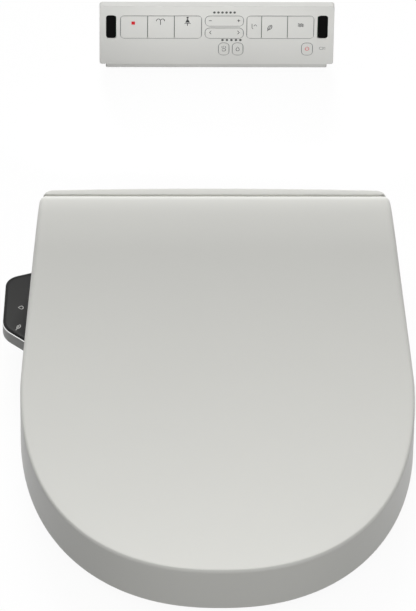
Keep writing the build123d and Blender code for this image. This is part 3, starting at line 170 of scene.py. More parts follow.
# a look for each material slot of the record, then looks for single pieces and for print
slotLooks = {
    "body_plastic": {"colour": (0.71, 0.71, 0.675), "roughness": 0.36, "shader": {"IOR": 1.47}},
    "seat_plastic": {"colour": (0.72, 0.71, 0.675), "roughness": 0.30, "shader": {"IOR": 1.47}},
    "dark_panel": {"colour": (0.012, 0.012, 0.012), "roughness": 0.22, "grainStrength": 0.03,
                   "shader": {"Specular IOR Level": 0.2}},
    "bright_trim": {"colour": (0.93, 0.93, 0.92), "roughness": 0.14, "grainStrength": 0.02,
                    "shader": {"Metallic": 1.0}},
    "inner_plastic": {"colour": (0.36, 0.365, 0.37), "roughness": 0.48},
    "nozzle_plastic": {"colour": (0.74, 0.75, 0.75), "roughness": 0.30},
    "gear_plastic": {"colour": (0.70, 0.67, 0.58), "roughness": 0.42},
    "tank_plastic": {"colour": (0.33, 0.31, 0.27), "roughness": 0.40},
    "steel": {"colour": (0.56, 0.56, 0.57), "roughness": 0.30, "shader": {"Metallic": 1.0}},
    "transformer_steel": {"colour": (0.34, 0.33, 0.32), "roughness": 0.45, "shader": {"Metallic": 1.0}},
    "brass_nickel": {"colour": (0.62, 0.58, 0.48), "roughness": 0.28, "shader": {"Metallic": 1.0}},
    "foil": {"colour": (0.70, 0.70, 0.72), "roughness": 0.33, "grainStrength": 0.3,
             "shader": {"Metallic": 1.0}},
    "rubber_grey": {"colour": (0.23, 0.23, 0.235), "roughness": 0.72, "grainStrength": 0.25},
    "rubber_black": {"colour": (0.022, 0.022, 0.023), "roughness": 0.66, "grainStrength": 0.25},
    "board": {"colour": (0.02, 0.13, 0.055), "roughness": 0.45},
    "filter_carbon": {"colour": (0.025, 0.025, 0.026), "roughness": 0.9, "grainStrength": 0.7,
                      "grainScale": 900.0, "grainDepth": 0.0004},
    "remote_white": {"colour": (0.71, 0.71, 0.685), "roughness": 0.34, "shader": {"IOR": 1.47}},
    "holder_white": {"colour": (0.61, 0.61, 0.59), "roughness": 0.38, "shader": {"IOR": 1.47}},
    "window_black": {"colour": (0.0012, 0.0012, 0.0012), "roughness": 0.3, "grainStrength": 0.0,
                     "shader": {"Specular IOR Level": 0.05}},
    "key_grey": {"colour": (0.71, 0.71, 0.685), "roughness": 0.38, "shader": {"IOR": 1.47}},
    "led_green": {"colour": (0.08, 0.085, 0.08), "roughness": 0.35},
    "battery_metal": {"colour": (0.25, 0.26, 0.28), "roughness": 0.32, "shader": {"Metallic": 1.0}},
}
ownLooks = {
    # the arm's body plastic painted darker: painted shade for its side, which is turned away from the light
    "armShadedPlastic": {"colour": (0.45, 0.45, 0.44), "roughness": 0.40, "shader": {"IOR": 1.47}},
    "darkInk": {"colour": (0.03, 0.03, 0.032), "roughness": 0.55},
    "greyInk": {"colour": (0.17, 0.17, 0.172), "roughness": 0.55},
    "redInk": {"colour": (0.62, 0.006, 0.014), "roughness": 0.5},
    "paleInk": {"colour": (0.62, 0.62, 0.60), "roughness": 0.5},
}
for slotName, look in {**slotLooks, **ownLooks}.items():
    mouldedMaterial(slotName, look)


# the front and rear tones are painted reflection on the dark panel, blended along y; the border tone is the
# panel's black border
touchPanel = {
    "toneDrift": 0.1, "reflectionFade": (-0.11, 0.0), "frontReflectionTone": (0.036, 0.036, 0.034, 1),
    "rearReflectionTone": (0.020, 0.020, 0.020, 1), "borderTone": (0.003, 0.003, 0.003, 1),
}


def makeTouchPanel(panel):
    # smoked gloss: a painted reflection, paler in front and darker towards the rear, inside a black border
    # kept by the piece's own rim
    material = mouldedMaterial("touchPanel", {**slotLooks["dark_panel"], "toneDrift": panel["toneDrift"]})
    tree = material.node_tree
    skin = tree.nodes["Group"]
    place = addNode(tree, "ShaderNodeTexCoord")
    split = addNode(tree, "ShaderNodeSeparateXYZ")
    tree.links.new(place.outputs["Object"], split.inputs[0])
    near, far = panel["reflectionFade"]
    reflectionFade = addNode(tree, "ShaderNodeMapRange", **{"From Min": near, "From Max": far})
    tree.links.new(split.outputs["Y"], reflectionFade.inputs["Value"])
    # painted reflection: the front tone blended into the rear tone along y
    paintedReflection = addNode(tree, "ShaderNodeMix", data_type="RGBA")
    paintedReflection.inputs["A"].default_value = panel["frontReflectionTone"]
    paintedReflection.inputs["B"].default_value = panel["rearReflectionTone"]
    tree.links.new(reflectionFade.outputs["Result"], paintedReflection.inputs["Factor"])
    rim = addNode(tree, "ShaderNodeAttribute", attribute_name="rim")
    border = addNode(tree, "ShaderNodeMix", data_type="RGBA")
    border.inputs["B"].default_value = panel["borderTone"]
    tree.links.new(rim.outputs["Fac"], border.inputs["Factor"])
    tree.links.new(paintedReflection.outputs["Result"], border.inputs["A"])
    tree.links.new(border.outputs["Result"], skin.inputs["Colour"])


makeTouchPanel(touchPanel)
print("materials made:", len(materials))


# sharp in degrees; weldStep and doubles are the distances, in metres, within which points become one;
# straight is half a corner's angle, in radians, from which it needs no rounding
meshing = {"sharp": 35.0, "weldStep": 2e-6, "doubles": 1e-6, "straight": 1.55, "leastSum": 0.5}


def weld(points, faces, step):
    # points that meet become one; returns which points are kept, and the faces on them
    keys = np.round(points / step).astype(np.int64)
    _, first, place = np.unique(keys, axis=0, return_index=True, return_inverse=True)
    return first, place.ravel()[faces]


def gridFaces(rows, columns, start=0, flip=False):
    # quads of a grid of rows x columns points, numbered from start
    index = np.arange(rows * columns).reshape(rows, columns) + start
    quads = np.stack([index[:-1, :-1], index[:-1, 1:], index[1:, 1:], index[1:, :-1]], -1).reshape(-1, 4)
    return quads[:, ::-1] if flip else quads


def shellOf(outer, inner, faces):
    # a wall: the outer skin, the same skin turned inside out, and quads along the free edges
    count = len(outer)
    sides = np.concatenate([faces[:, [a, (a + 1) % 4]] for a in range(4)])
    sides = sides[sides[:, 0] != sides[:, 1]]
    code = np.sort(sides, 1)
    code = code[:, 0] * count + code[:, 1]
    _, place, times = np.unique(code, return_inverse=True, return_counts=True)
    free = sides[times[place] == 1]
    rim = np.stack([free[:, 1], free[:, 0], free[:, 0] + count, free[:, 1] + count], 1)
    return np.concatenate([outer, inner]), np.concatenate([faces, faces[:, ::-1] + count, rim])


def makeMesh(name, points, faces, sharp):
    # a face that has lost corners to the weld is a triangle, or with fewer than three is dropped
    faceList = [tuple(dict.fromkeys(face)) for face in faces.tolist()]
    faceList = [face for face in faceList if len(face) > 2]
    mesh = bpy.data.meshes.new(name)
    mesh.from_pydata(points.tolist(), [], faceList)
    mesh.update()
    mesh.shade_smooth()
    mesh.set_sharp_from_angle(angle=math.radians(sharp))
    return mesh


redrawn = set()


def addPiece(name, mesh, body, slotName, replaced=(), material=None):
    # a piece on its body and in its slot, which may take the place of nodes
    piece = bpy.data.objects.new(name, mesh)
    scene.collection.objects.link(piece)
    mesh.materials.append(materials[material or slotName])
    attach(piece, body)
    if replaced:
        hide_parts(*replaced)
        redrawn.update(replaced)
    return piece


# millimetres from here on, until a mesh is made
lidShape = {
    "halfWidth": 193.58, "widestY": -198.6, "frontY": -469.98, "frontPower": 2.25, "hingeHalfWidth": 177.2,
    "sidePower": 1.15, "hinge": (33.0, 92.0), "lipRadius": 20.0, "lipEndZ": 85.1, "crownRadius": 104.0,
    "crownSlope": 10.0, "creaseSlope": 16.0, "creaseY": -33.0, "frontHeight": 52.0, "wall": 3.0,
    "skirtBottom": 6.0, "skirtRaised": 47.5, "skirtStepY": -121.0, "skirtStepRun": 14.0,
    "rearFoot": (38.0, 56.0), "leastEdge": 0.8, "edgeInset": 1.8,
    "edgeRadius": ((-470.0, 3.0), (-300.0, 3.4), (-198.6, 4.2), (-60.0, 7.0), (53.0, 6.5)),
    "spineFrontY": -395.0, "frontStations": 72, "sideStations": 76, "lipStations": 14, "topColumns": 44,
    "filletColumns": 8, "cornerColumns": 6, "wallRows": 10,
}


def lidArcs(lid):
    # the top's arcs from the hinge forwards: crown, shoulder and the long hollow front, with their centres
    crown = (lid["hinge"][0], lid["hinge"][1] + lid["lipRadius"] - lid["crownRadius"])
    near, far = math.radians(lid["crownSlope"]), math.radians(lid["creaseSlope"])
    start = (crown[0] - lid["crownRadius"] * math.sin(near), crown[1] + lid["crownRadius"] * math.cos(near))
    shoulderRadius = (start[0] - lid["creaseY"]) / (math.sin(far) - math.sin(near))
    shoulder = (start[0] + shoulderRadius * math.sin(near), start[1] - shoulderRadius * math.cos(near))
    creaseZ = shoulder[1] + shoulderRadius * math.cos(far)
    end = 2 * math.atan2(creaseZ - lid["frontHeight"], lid["creaseY"] - lid["frontY"]) - far
    frontRadius = (lid["creaseY"] - lid["frontY"]) / (math.sin(far) - math.sin(end))
    front = (lid["creaseY"] - frontRadius * math.sin(far), creaseZ + frontRadius * math.cos(far))
    return crown, shoulder, shoulderRadius, front, frontRadius


def lidTop(lid, y, drop):
    # height and slope of the top along y, drop below the outside: long hollow arc, shoulder arc, crown arc
    crown, shoulder, shoulderRadius, front, frontRadius = lidArcs(lid)
    near, far = math.radians(lid["crownSlope"]), math.radians(lid["creaseSlope"])
    longR, shoulderR, crownR = frontRadius + drop, shoulderRadius - drop, lid["crownRadius"] - drop
    onLong, onShoulder = y < front[0] + longR * math.sin(far), y < shoulder[0] - shoulderR * math.sin(near)
    tilt = np.where(onLong, np.arcsin(np.clip((y - front[0]) / longR, -1, 1)),
                    np.where(onShoulder, -np.arcsin(np.clip((y - shoulder[0]) / shoulderR, -1, 1)),
                             -np.arcsin(np.clip((y - crown[0]) / crownR, -1, 1))))
    height = np.where(onLong, front[1] - longR * np.cos(tilt),
                      np.where(onShoulder, shoulder[1] + shoulderR * np.cos(tilt),
                               crown[1] + crownR * np.cos(tilt)))
    return height, tilt


def skirtFoot(lid, y):
    # lower edge of the side wall: low in front, a steep step, then high beside the washing unit
    step = lid["skirtStepY"] - lid["skirtStepRun"]
    return np.interp(y, [step, lid["skirtStepY"], lid["rearFoot"][0], lid["hinge"][0] + lid["lipRadius"]],
                     [lid["skirtBottom"], lid["skirtRaised"], lid["skirtRaised"], lid["rearFoot"][1]])


def lidHalf(lid, inset):
    # One half of the lid's skin, inset from the outside. Stations run along its outline: a superellipse
    # x = W sin(a)^(2/p), y = Y - L cos(a)^(2/p) in front, the drawn-in side behind, then the roll round the
    # hinge. At each, a line climbs the wall, turns over the edge on an arc and crosses the top to the middle.
    halfWidth, length = lid["halfWidth"] - inset, lid["widestY"] - lid["frontY"] - inset
    exponent = 2 / lid["frontPower"]
    a = np.linspace(0, np.pi / 2, lid["frontStations"])
    sine, cosine = np.sin(a), np.clip(np.cos(a), 0, 1)
    frontX, frontDepth = halfWidth * sine ** exponent, length * cosine ** exponent
    normalX = frontX ** (lid["frontPower"] - 1) / halfWidth ** lid["frontPower"]
    normalY = -frontDepth ** (lid["frontPower"] - 1) / length ** lid["frontPower"]
    size = np.hypot(normalX, normalY)
    frontM = np.stack([normalX / size, normalY / size, 0 * a], 1)
    sideY = lid["widestY"] + (lid["hinge"][0] - lid["widestY"]) * np.linspace(0, 1, lid["sideStations"])[1:]
    roll = np.linspace(np.pi / 2, 0, lid["lipStations"])[1:]
    lipR = lid["lipRadius"] - inset
    rollY, rollZ = lid["hinge"][0] + lipR * np.cos(roll), lid["hinge"][1] + lipR * np.sin(roll)
    backY = np.concatenate([sideY, rollY])
    share = (backY - lid["widestY"]) / (lid["hinge"][0] - lid["widestY"])
    drawn = lid["halfWidth"] - lid["hingeHalfWidth"]
    backX = lid["halfWidth"] - drawn * share ** lid["sidePower"] - inset
    lean = drawn * lid["sidePower"] * share ** (lid["sidePower"] - 1) / (lid["hinge"][0] - lid["widestY"])
    backM = np.stack([np.ones_like(lean), lean, 0 * lean], 1)
    backM /= np.linalg.norm(backM, axis=1)[:, None]
    edgeY = np.concatenate([lid["widestY"] - frontDepth, backY])
    edgeX = np.concatenate([frontX, backX])
    wallNormal = np.concatenate([frontM, backM])
    height, tilt = lidTop(lid, edgeY, inset)
    count = len(edgeY) - len(rollY)
    edgeZ = np.concatenate([height[:count], rollZ])
    topNormal = np.stack([0 * tilt, -np.sin(tilt), np.cos(tilt)], 1)
    topNormal[count:] = np.stack([0 * roll, np.cos(roll), np.sin(roll)], 1)
    edge = np.stack([edgeX, edgeY, edgeZ], 1)
    radius = np.interp(edgeY, *np.array(lid["edgeRadius"]).T) - lid["edgeInset"] * inset
    radius = np.maximum(radius, lid["leastEdge"])[:, None]
    meet = (wallNormal * topNormal).sum(1)[:, None]
    centre = edge - radius / (1 + meet) * (wallNormal + topNormal)
    # arc from the wall to the top, turned evenly from one normal to the other
    turn = np.arccos(np.clip(meet, -1, 1))[:, :, None]
    share = np.linspace(0, 1, lid["filletColumns"] + 1)[None, :, None]
    arc = (np.sin((1 - share) * turn) * wallNormal[:, None] + np.sin(share * turn) * topNormal[:, None])
    arc = centre[:, None] + radius[:, None] * arc / np.sin(turn)
    # wall
    foot = arc[:, 0].copy()
    foot[:, 2] = skirtFoot(lid, foot[:, 1])
    down = (lid["hinge"][1] - lid["lipEndZ"]) / (lid["hinge"][1] - foot[-1, 2])
    rise = np.concatenate([np.linspace(0, 1 - down, lid["wallRows"] + 1), [1 - down / 2, 1]])[None, :, None]
    wall = foot[:, None] * (1 - rise) + arc[:, :1] * rise
    # top: straight across behind, and a fan towards the middle line in front
    inner = arc[:, -1]
    spineY = inner[:, 1].copy()
    front = lid["frontStations"]
    spineY[:front] = np.interp(a, [0, np.pi / 2], [lid["spineFrontY"], inner[front - 1, 1]])
    across = np.linspace(0, 1, lid["topColumns"] + 1)[None, 1:]
    topX = inner[:, :1] * (1 - across)
    topY = inner[:, 1:2] * (1 - across) + spineY[:, None] * across
    topZ, _ = lidTop(lid, topY, inset)
    edgeTop, _ = lidTop(lid, inner[:, 1], inset)
    topZ = topZ + (inner[:, 2] - edgeTop)[:, None] * (1 - across) ** 2
    topZ[count:] = inner[count:, 2:3]
    crown = np.concatenate([arc, np.stack([topX, topY, topZ], 2)], 1)
    # below the hinge's height the roll goes straight down to the lip's end
    drop = np.array([0.5, 1.0]) * (lid["hinge"][1] - lid["lipEndZ"])
    last = np.repeat(crown[-1:], 2, 0)
    last[:, :, 2] -= drop[:, None]
    crown = np.concatenate([crown, last])
    # the rear corner of the side wall, from the lip's end down to its foot
    corner = np.repeat(crown[-1:, :lid["cornerColumns"] + 1], lid["wallRows"] + 1, 0)
    low = skirtFoot(lid, corner[:1, :, 1])
    fall = np.linspace(1, 0, lid["wallRows"] + 1)[:, None]
    corner[:, :, 2] = low + (lid["lipEndZ"] - low) * fall
    corner[:, 0, 2] = wall[-1, lid["wallRows"]::-1, 2]
    return wall, crown, corner


def makeLid(lid):
    # both halves, the second mirrored in x, outside and inset by the wall, joined where they meet
    skins, faces, start = [], [], 0
    for side in (1, -1):
        for number, patch in enumerate(lidHalf(lid, 0.0)):
            faces.append(gridFaces(*patch.shape[:2], start, flip=(side < 0) != (number == 1)))
            start += patch.shape[0] * patch.shape[1]
    for inset in (0.0, lid["wall"]):
        patches = lidHalf(lid, inset)
        both = [patch.reshape(-1, 3) * (side, 1, 1) for side in (1, -1) for patch in patches]
        skins.append(np.concatenate(both) * mm)
    kept, joined = weld(skins[0], np.concatenate(faces), meshing["weldStep"])
    points, shell = shellOf(skins[0][kept], skins[1][kept], joined)
    return makeMesh("lid", points, shell, meshing["sharp"])


addPiece("lid_cover", makeLid(lidShape), "lid", "body_plastic", ["lid_shell"])
print("lid made")


def roundedLoop(corners, radii, steps=10):
    # a closed line through straight runs, each corner turned on an arc of its own radius
    corners, count = np.array(corners, float), len(corners)
    line = []
    for number, radius in enumerate(radii):
        here = corners[number]
        before, after = corners[number - 1] - here, corners[(number + 1) % count] - here
        before, after = before / np.linalg.norm(before), after / np.linalg.norm(after)
        half = np.arccos(np.clip(before @ after, -1, 1)) / 2
        if radius == 0 or half > meshing["straight"]:
            line.append(here[None])
            continue
        centre = here + (before + after) / np.linalg.norm(before + after) * radius / math.sin(half)
        reach = radius / math.tan(half)
        start, end = here + before * reach - centre, here + after * reach - centre
        turn = np.arccos(np.clip(start @ end / radius ** 2, -1, 1))
        share = np.linspace(0, 1, steps + 1)[:, None]
        arc = np.sin((1 - share) * turn) * start + np.sin(share * turn) * end
        line.append(centre + arc / math.sin(turn))
    return np.concatenate(line)


def insetLoop(loop, distance):
    # the same closed line drawn in by distance, along the mean of its neighbours' normals
    along = np.roll(loop, -1, 0) - loop
    along /= np.linalg.norm(along, axis=1)[:, None]
    normal = np.stack([-along[:, 1], along[:, 0]], 1)
    area = np.sum(loop[:, 0] * np.roll(loop[:, 1], -1) - loop[:, 1] * np.roll(loop[:, 0], -1))
    normal = normal * np.sign(area)
    mean = normal + np.roll(normal, 1, 0)
    return loop + distance * mean / np.maximum((mean * mean).sum(1) / 2, meshing["leastSum"])[:, None]


def stackLoops(loop, levels):
    # loops of one line stacked up, each with its own inset and height
    return np.stack([np.column_stack([insetLoop(loop, inset), np.full(len(loop), height)])
                     for inset, height in levels])


def loftFaces(rows, count, closed):
    # quads between stacked loops; the first and last loops are filled, or joined where closed
    index = np.arange(rows * count).reshape(rows, count)
    if closed:
        index = np.concatenate([index, index[:1]])
    right = np.roll(index, -1, 1)
    quads = np.stack([index[:-1], right[:-1], right[1:], index[1:]], -1).reshape(-1, 4).tolist()
    return quads if closed else quads + [index[0].tolist()[::-1], index[-1].tolist()]


def outwardMesh(name, points, faces, sharp=meshing["sharp"]):
    # a mesh of closed shells in millimetres, its doubles merged and its faces turned outwards
    mesh = bpy.data.meshes.new(name)
    mesh.from_pydata((np.asarray(points) * mm).tolist(), [], faces)
    made = bmesh.new()
    made.from_mesh(mesh)
    bmesh.ops.remove_doubles(made, verts=made.verts, dist=meshing["doubles"])
    bmesh.ops.recalc_face_normals(made, faces=made.faces)
    made.to_mesh(mesh)
    made.free()
    mesh.shade_smooth()
    mesh.set_sharp_from_angle(angle=math.radians(sharp))
    return mesh


def joinedLofts(grids):
    # points and faces of several (stack of loops, closed) in one
    points, faces, start = [], [], 0
    for grid, closed in grids:
        rows, count = grid.shape[:2]
        faces += [[i + start for i in face] for face in loftFaces(rows, count, closed)]
        points.append(grid.reshape(-1, 3))
        start += rows * count
    return np.concatenate(points), faces


def loftedMesh(name, grids, sharp=meshing["sharp"]):
    # one mesh of lofts that are filled at both ends
    return outwardMesh(name, *joinedLofts([(grid, False) for grid in grids]), sharp)


arm = {
    "rearCorner": (-210.6, -7.4), "rearRadius": 18.0, "frontCorner": (-213.19, -86.4), "frontRadius": 25.0,
    "frontRoot": (-188.0, -110.4), "rearRoot": (-183.0, 3.0), "underCover": 4.0, "bottom": 28.0, "top": 44.0,
    "wall": 2.2, "panel": 1.6, "trim": 1.0, "panelMargin": 0.35, "edgeRadius": 2.6, "border": 2.6,
    "floorEdge": 2.0, "rimReach": 0.4, "rimFade": 0.5, "panelSharp": 50.0,
    # (inset, drop) pairs of the trim's edge, the panel's edge and the shallow dish inside its border
    "trimEdge": ((0.0, 0.35), (0.12, 0.1), (0.35, 0.0)), "panelEdge": ((0.0, 0.7), (0.2, 0.2), (0.7, 0.0)),
    "panelDish": ((0.0, 0.0), (0.6, 0.12), (3.0, 0.12)),
}


def armOutline(shape):
    # the arm in plan: two rounded corners outside, and along the washing unit's side within
    y = np.linspace(shape["frontRoot"][1], shape["rearRoot"][1], 16)
    share = (y - lidShape["widestY"]) / (lidShape["hinge"][0] - lidShape["widestY"])
    drawn = (lidShape["halfWidth"] - lidShape["hingeHalfWidth"]) * share ** lidShape["sidePower"]
    inner = np.column_stack([drawn - lidShape["halfWidth"] + shape["underCover"], y])
    corners = [tuple(inner[-1]), shape["rearRoot"], shape["rearCorner"], shape["frontCorner"],
               shape["frontRoot"]]
    outer = roundedLoop(corners, [0, 0, shape["rearRadius"], shape["frontRadius"], 0], 16)
    return np.concatenate([outer, inner[:-1]])


def makeArm(shape):
    # three lofts of one outline: an open tray with rounded foot, a bright ring on it, and the panel on top
    outline = armOutline(shape)
    trimTop = shape["top"] - shape["panel"]
    trimFoot, radius, wall = trimTop - shape["trim"], shape["edgeRadius"], shape["wall"]
    turn = np.radians([0, 22, 45, 67, 90])
    levels = [(radius * (1 - math.sin(t)), shape["bottom"] + radius * (1 - math.cos(t))) for t in turn]
    floor = shape["bottom"] + wall
    levels += [(0, trimFoot), (wall, trimFoot), (wall, floor + shape["floorEdge"]),
               (wall + shape["floorEdge"], floor)]
    housing = loftedMesh("arm", [stackLoops(outline, levels)])
    # the housing takes the darker copy of the body plastic, which is painted shade
    addPiece("arm_housing", housing, "washing_unit", "body_plastic", ["control_arm"], "armShadedPlastic")
    levels = [(inset, trimTop - drop) for inset, drop in shape["trimEdge"]]
    ring = stackLoops(outline, [(0, trimFoot), *levels, (wall, trimTop), (wall, trimFoot)])
    trim = outwardMesh("trim", *joinedLofts([(ring, True)]))
    addPiece("arm_trim", trim, "washing_unit", "bright_trim", ["panel_trim"])
    margin, top, border = shape["panelMargin"], shape["top"], shape["border"]
    levels = [(margin + inset, top - drop) for inset, drop in shape["panelEdge"]]
    levels += [(margin + border + inset, top - drop) for inset, drop in shape["panelDish"]]
    panel = loftedMesh("panel", [stackLoops(outline, [(margin, trimTop), *levels])], shape["panelSharp"])
    rim = panel.attributes.new("rim", "FLOAT", "POINT")
    place = np.empty(len(panel.vertices) * 3, np.float32)
    # the rim is 1 within border of the outline, and fades to 0 over rimFade
    panel.vertices.foreach_get("co", place)
    place = place.reshape(-1, 3)[:, :2] / mm
    edge = insetLoop(outline, margin)
    reach = np.sqrt(((place[:, None] - edge[None]) ** 2).sum(2)).min(1)
    shade = np.clip((border + shape["rimReach"] - reach) / shape["rimFade"], 0, 1)
    rim.data.foreach_set("value", shade.astype(np.float32))
    addPiece("arm_panel", panel, "washing_unit", "dark_panel", ["control_panel"], "touchPanel")


def strokeParts(paths, width, depth):
    # lines of print: a flat bar's four corners carried along each path of (points, closed)
    grids = []
    for path, closed in paths:
        path = np.array(path, float)
        along = (np.roll(path, -1, 0) - np.roll(path, 1, 0)) if closed else np.gradient(path, axis=0)
        along /= np.maximum(np.linalg.norm(along, axis=1), 1e-9)[:, None]
        side = np.stack([-along[:, 1], along[:, 0]], 1) * width / 2
        bar = [np.column_stack([path + side * way, np.full(len(path), height)])
               for way, height in ((1, 0), (1, depth), (-1, depth), (-1, 0))]
        grids.append((np.stack(bar, 1), closed))
    return joinedLofts(grids)


def fillParts(loops, depth):
    # filled marks: each closed line raised by depth
    grids = [np.stack([np.column_stack([loop, np.full(len(loop), height)]) for height in (0.0, depth)])
             for loop in loops]
    return joinedLofts([(grid, False) for grid in grids])


def circlePath(x, y, radius, start=0.0, end=360.0, count=28, squeeze=1.0):
    # points r (cos t, q sin t) about (x, y), with t from start to end
    turn = np.radians(np.linspace(start, end, count, endpoint=abs(end - start) < 360))
    return np.stack([x + radius * np.cos(turn), y + radius * squeeze * np.sin(turn)], 1)


def leafPath(length, width, angle, fullness=0.8):
    # two bows w / 2 sin(pi s)^f on each side of a line from (0, 0) along angle
    share = np.linspace(0, 1, 13)
    bulge = width / 2 * np.sin(np.pi * share) ** fullness
    line = np.concatenate([np.stack([share * length, bulge], 1),
                           np.stack([share[::-1] * length, -bulge[::-1]], 1)[1:-1]])
    turn = math.radians(angle)
    return line @ np.array([[math.cos(turn), math.sin(turn)], [-math.sin(turn), math.cos(turn)]])


def dropPath(tip, middle, length, width, count, halfTurn=2.25):
    # a water drop lying along x, from its tip round its body
    turn = np.linspace(-halfTurn, halfTurn, count)
    body = np.stack([middle + length * np.cos(turn), width * np.sin(turn)], 1)
    return np.concatenate([[(tip, 0.0)], body])


def wavePath(length, height, pitch, row):
    # a level wave h sin(p x), row above the middle
    across = np.linspace(-length / 2, length / 2, 19)
    return np.stack([across, height * np.sin(across * pitch) + row], 1)


def boxLoop(left, right, low, high, radius, grow=0.0):
    # a rounded rectangle, grown outwards all round
    corners = [(left - grow, low - grow), (right + grow, low - grow), (right + grow, high + grow),
               (left - grow, high + grow)]
    return roundedLoop(corners, [radius + grow] * 4, 8)


def shifted(path, x, y):
    return np.array(path, float) + (x, y)


def onFace(points, faceY):
    # drawn across and up, stood on an upright face and raised towards the front
    return np.stack([points[:, 0], faceY - points[:, 2], points[:, 1]], 1)


def addPrint(name, parts, body, slotName, material=None, frontY=None, topZ=None, replaced=()):
    # print on the remote's face (across, up) or on a level panel (across, back)
    points, faces = parts
    points = onFace(points, frontY) if topZ is None else points + (0, 0, topZ)
    addPiece(name, outwardMesh(name, points, faces), body, slotName, replaced, material)


panelMarks = {
    "drop": (-194.6, -55.2), "dropSize": (-2.9, 0.3, 1.8, 2.5, 19), "leaf": (-198.4, -89.5),
    "leafSize": (7.2, 3.2, 62), "vein": [(-1.2, -2.2), (0.4, 1.2), (2.4, 4.6)],
    "line": 0.62, "depth": 0.06, "height": 43.88,
}


def markPanel(marks):
    # a water drop with its tip outwards, and a leaf with its vein
    paths = [(shifted(dropPath(*marks["dropSize"]), *marks["drop"]), True),
             (shifted(leafPath(*marks["leafSize"]), *marks["leaf"]), True),
             (shifted(marks["vein"], *marks["leaf"]), False)]
    addPrint("arm_marks", strokeParts(paths, marks["line"], marks["depth"]), "washing_unit", "dark_panel",
             "paleInk", topZ=marks["height"])


# spans are (left, right), rows are (low, high), and lamps are (first, last, how many, row)
remote = {
    "face": 415.2, "keyFace": 414.8, "ink": 0.05, "line": 0.52, "gap": 0.42, "keyRows": (39.7, 68.2),
    "groups": ((-94.7, -9.0), (39.7, 110.3)), "groupRadius": 4.2, "rockers": ((55.6, 68.2), (39.7, 52.6)),
    "rockerEnds": (-4.6, 35.5), "rockerRadius": 5.0, "smallKeys": ((9.9, 20.5), (24.6, 35.4), (98.5, 109.5)),
    "smallRow": (17.9, 33.1), "smallRadius": 4.4,
    "windows": ((-110.3, -100.0), (115.2, 125.6)), "windowRow": (39.9, 69.1), "windowRadius": 3.0,
    "flange": (-115.3, 130.3, 7.3, 79.0, 2.5), "flangeY": (422.85, 423.35), "raised": 0.12,
    "lampsUpper": (4.7, 26.2, 6, 73.0), "lampsLower": (13.7, 32.8, 5, 37.2), "lampRadius": 1.35,
}


def markRemote(shape):
    # fine outlines round the keys, two rows of lamps, two dark panes, and the thin flange behind the case
    gap, face, depth = shape["gap"], shape["face"], shape["ink"]
    loops = [boxLoop(*ends, *shape["keyRows"], shape["groupRadius"], gap) for ends in shape["groups"]]
    loops += [boxLoop(*shape["rockerEnds"], *row, shape["rockerRadius"], gap) for row in shape["rockers"]]
    loops += [boxLoop(*ends, *shape["smallRow"], shape["smallRadius"], gap) for ends in shape["smallKeys"]]
    outlines = strokeParts([(loop, True) for loop in loops], shape["line"], depth)
    addPrint("remote_outlines", outlines, "remote", "remote_white", "greyInk", frontY=face)
    lamps = []
    for first, last, count, row in (shape["lampsUpper"], shape["lampsLower"]):
        places = np.linspace(first, last, count)
        lamps += [circlePath(x, row, shape["lampRadius"], count=20) for x in places]
    addPrint("remote_lamps", fillParts(lamps, shape["raised"]), "remote", "led_green", frontY=face,
             replaced=["remote_leds"])
    panes = [boxLoop(*ends, *shape["windowRow"], shape["windowRadius"]) for ends in shape["windows"]]
    addPrint("remote_panes", fillParts(panes, shape["raised"]), "remote", "window_black", frontY=face,
             replaced=["remote_windows"])
    near, behind = shape["flangeY"]
    points, faces = fillParts([boxLoop(*shape["flange"])], behind - near)
    points = np.stack([points[:, 0], near + points[:, 2], points[:, 1]], 1)
    addPiece("remote_flange", outwardMesh("flange", points, faces), "remote", "remote_white")


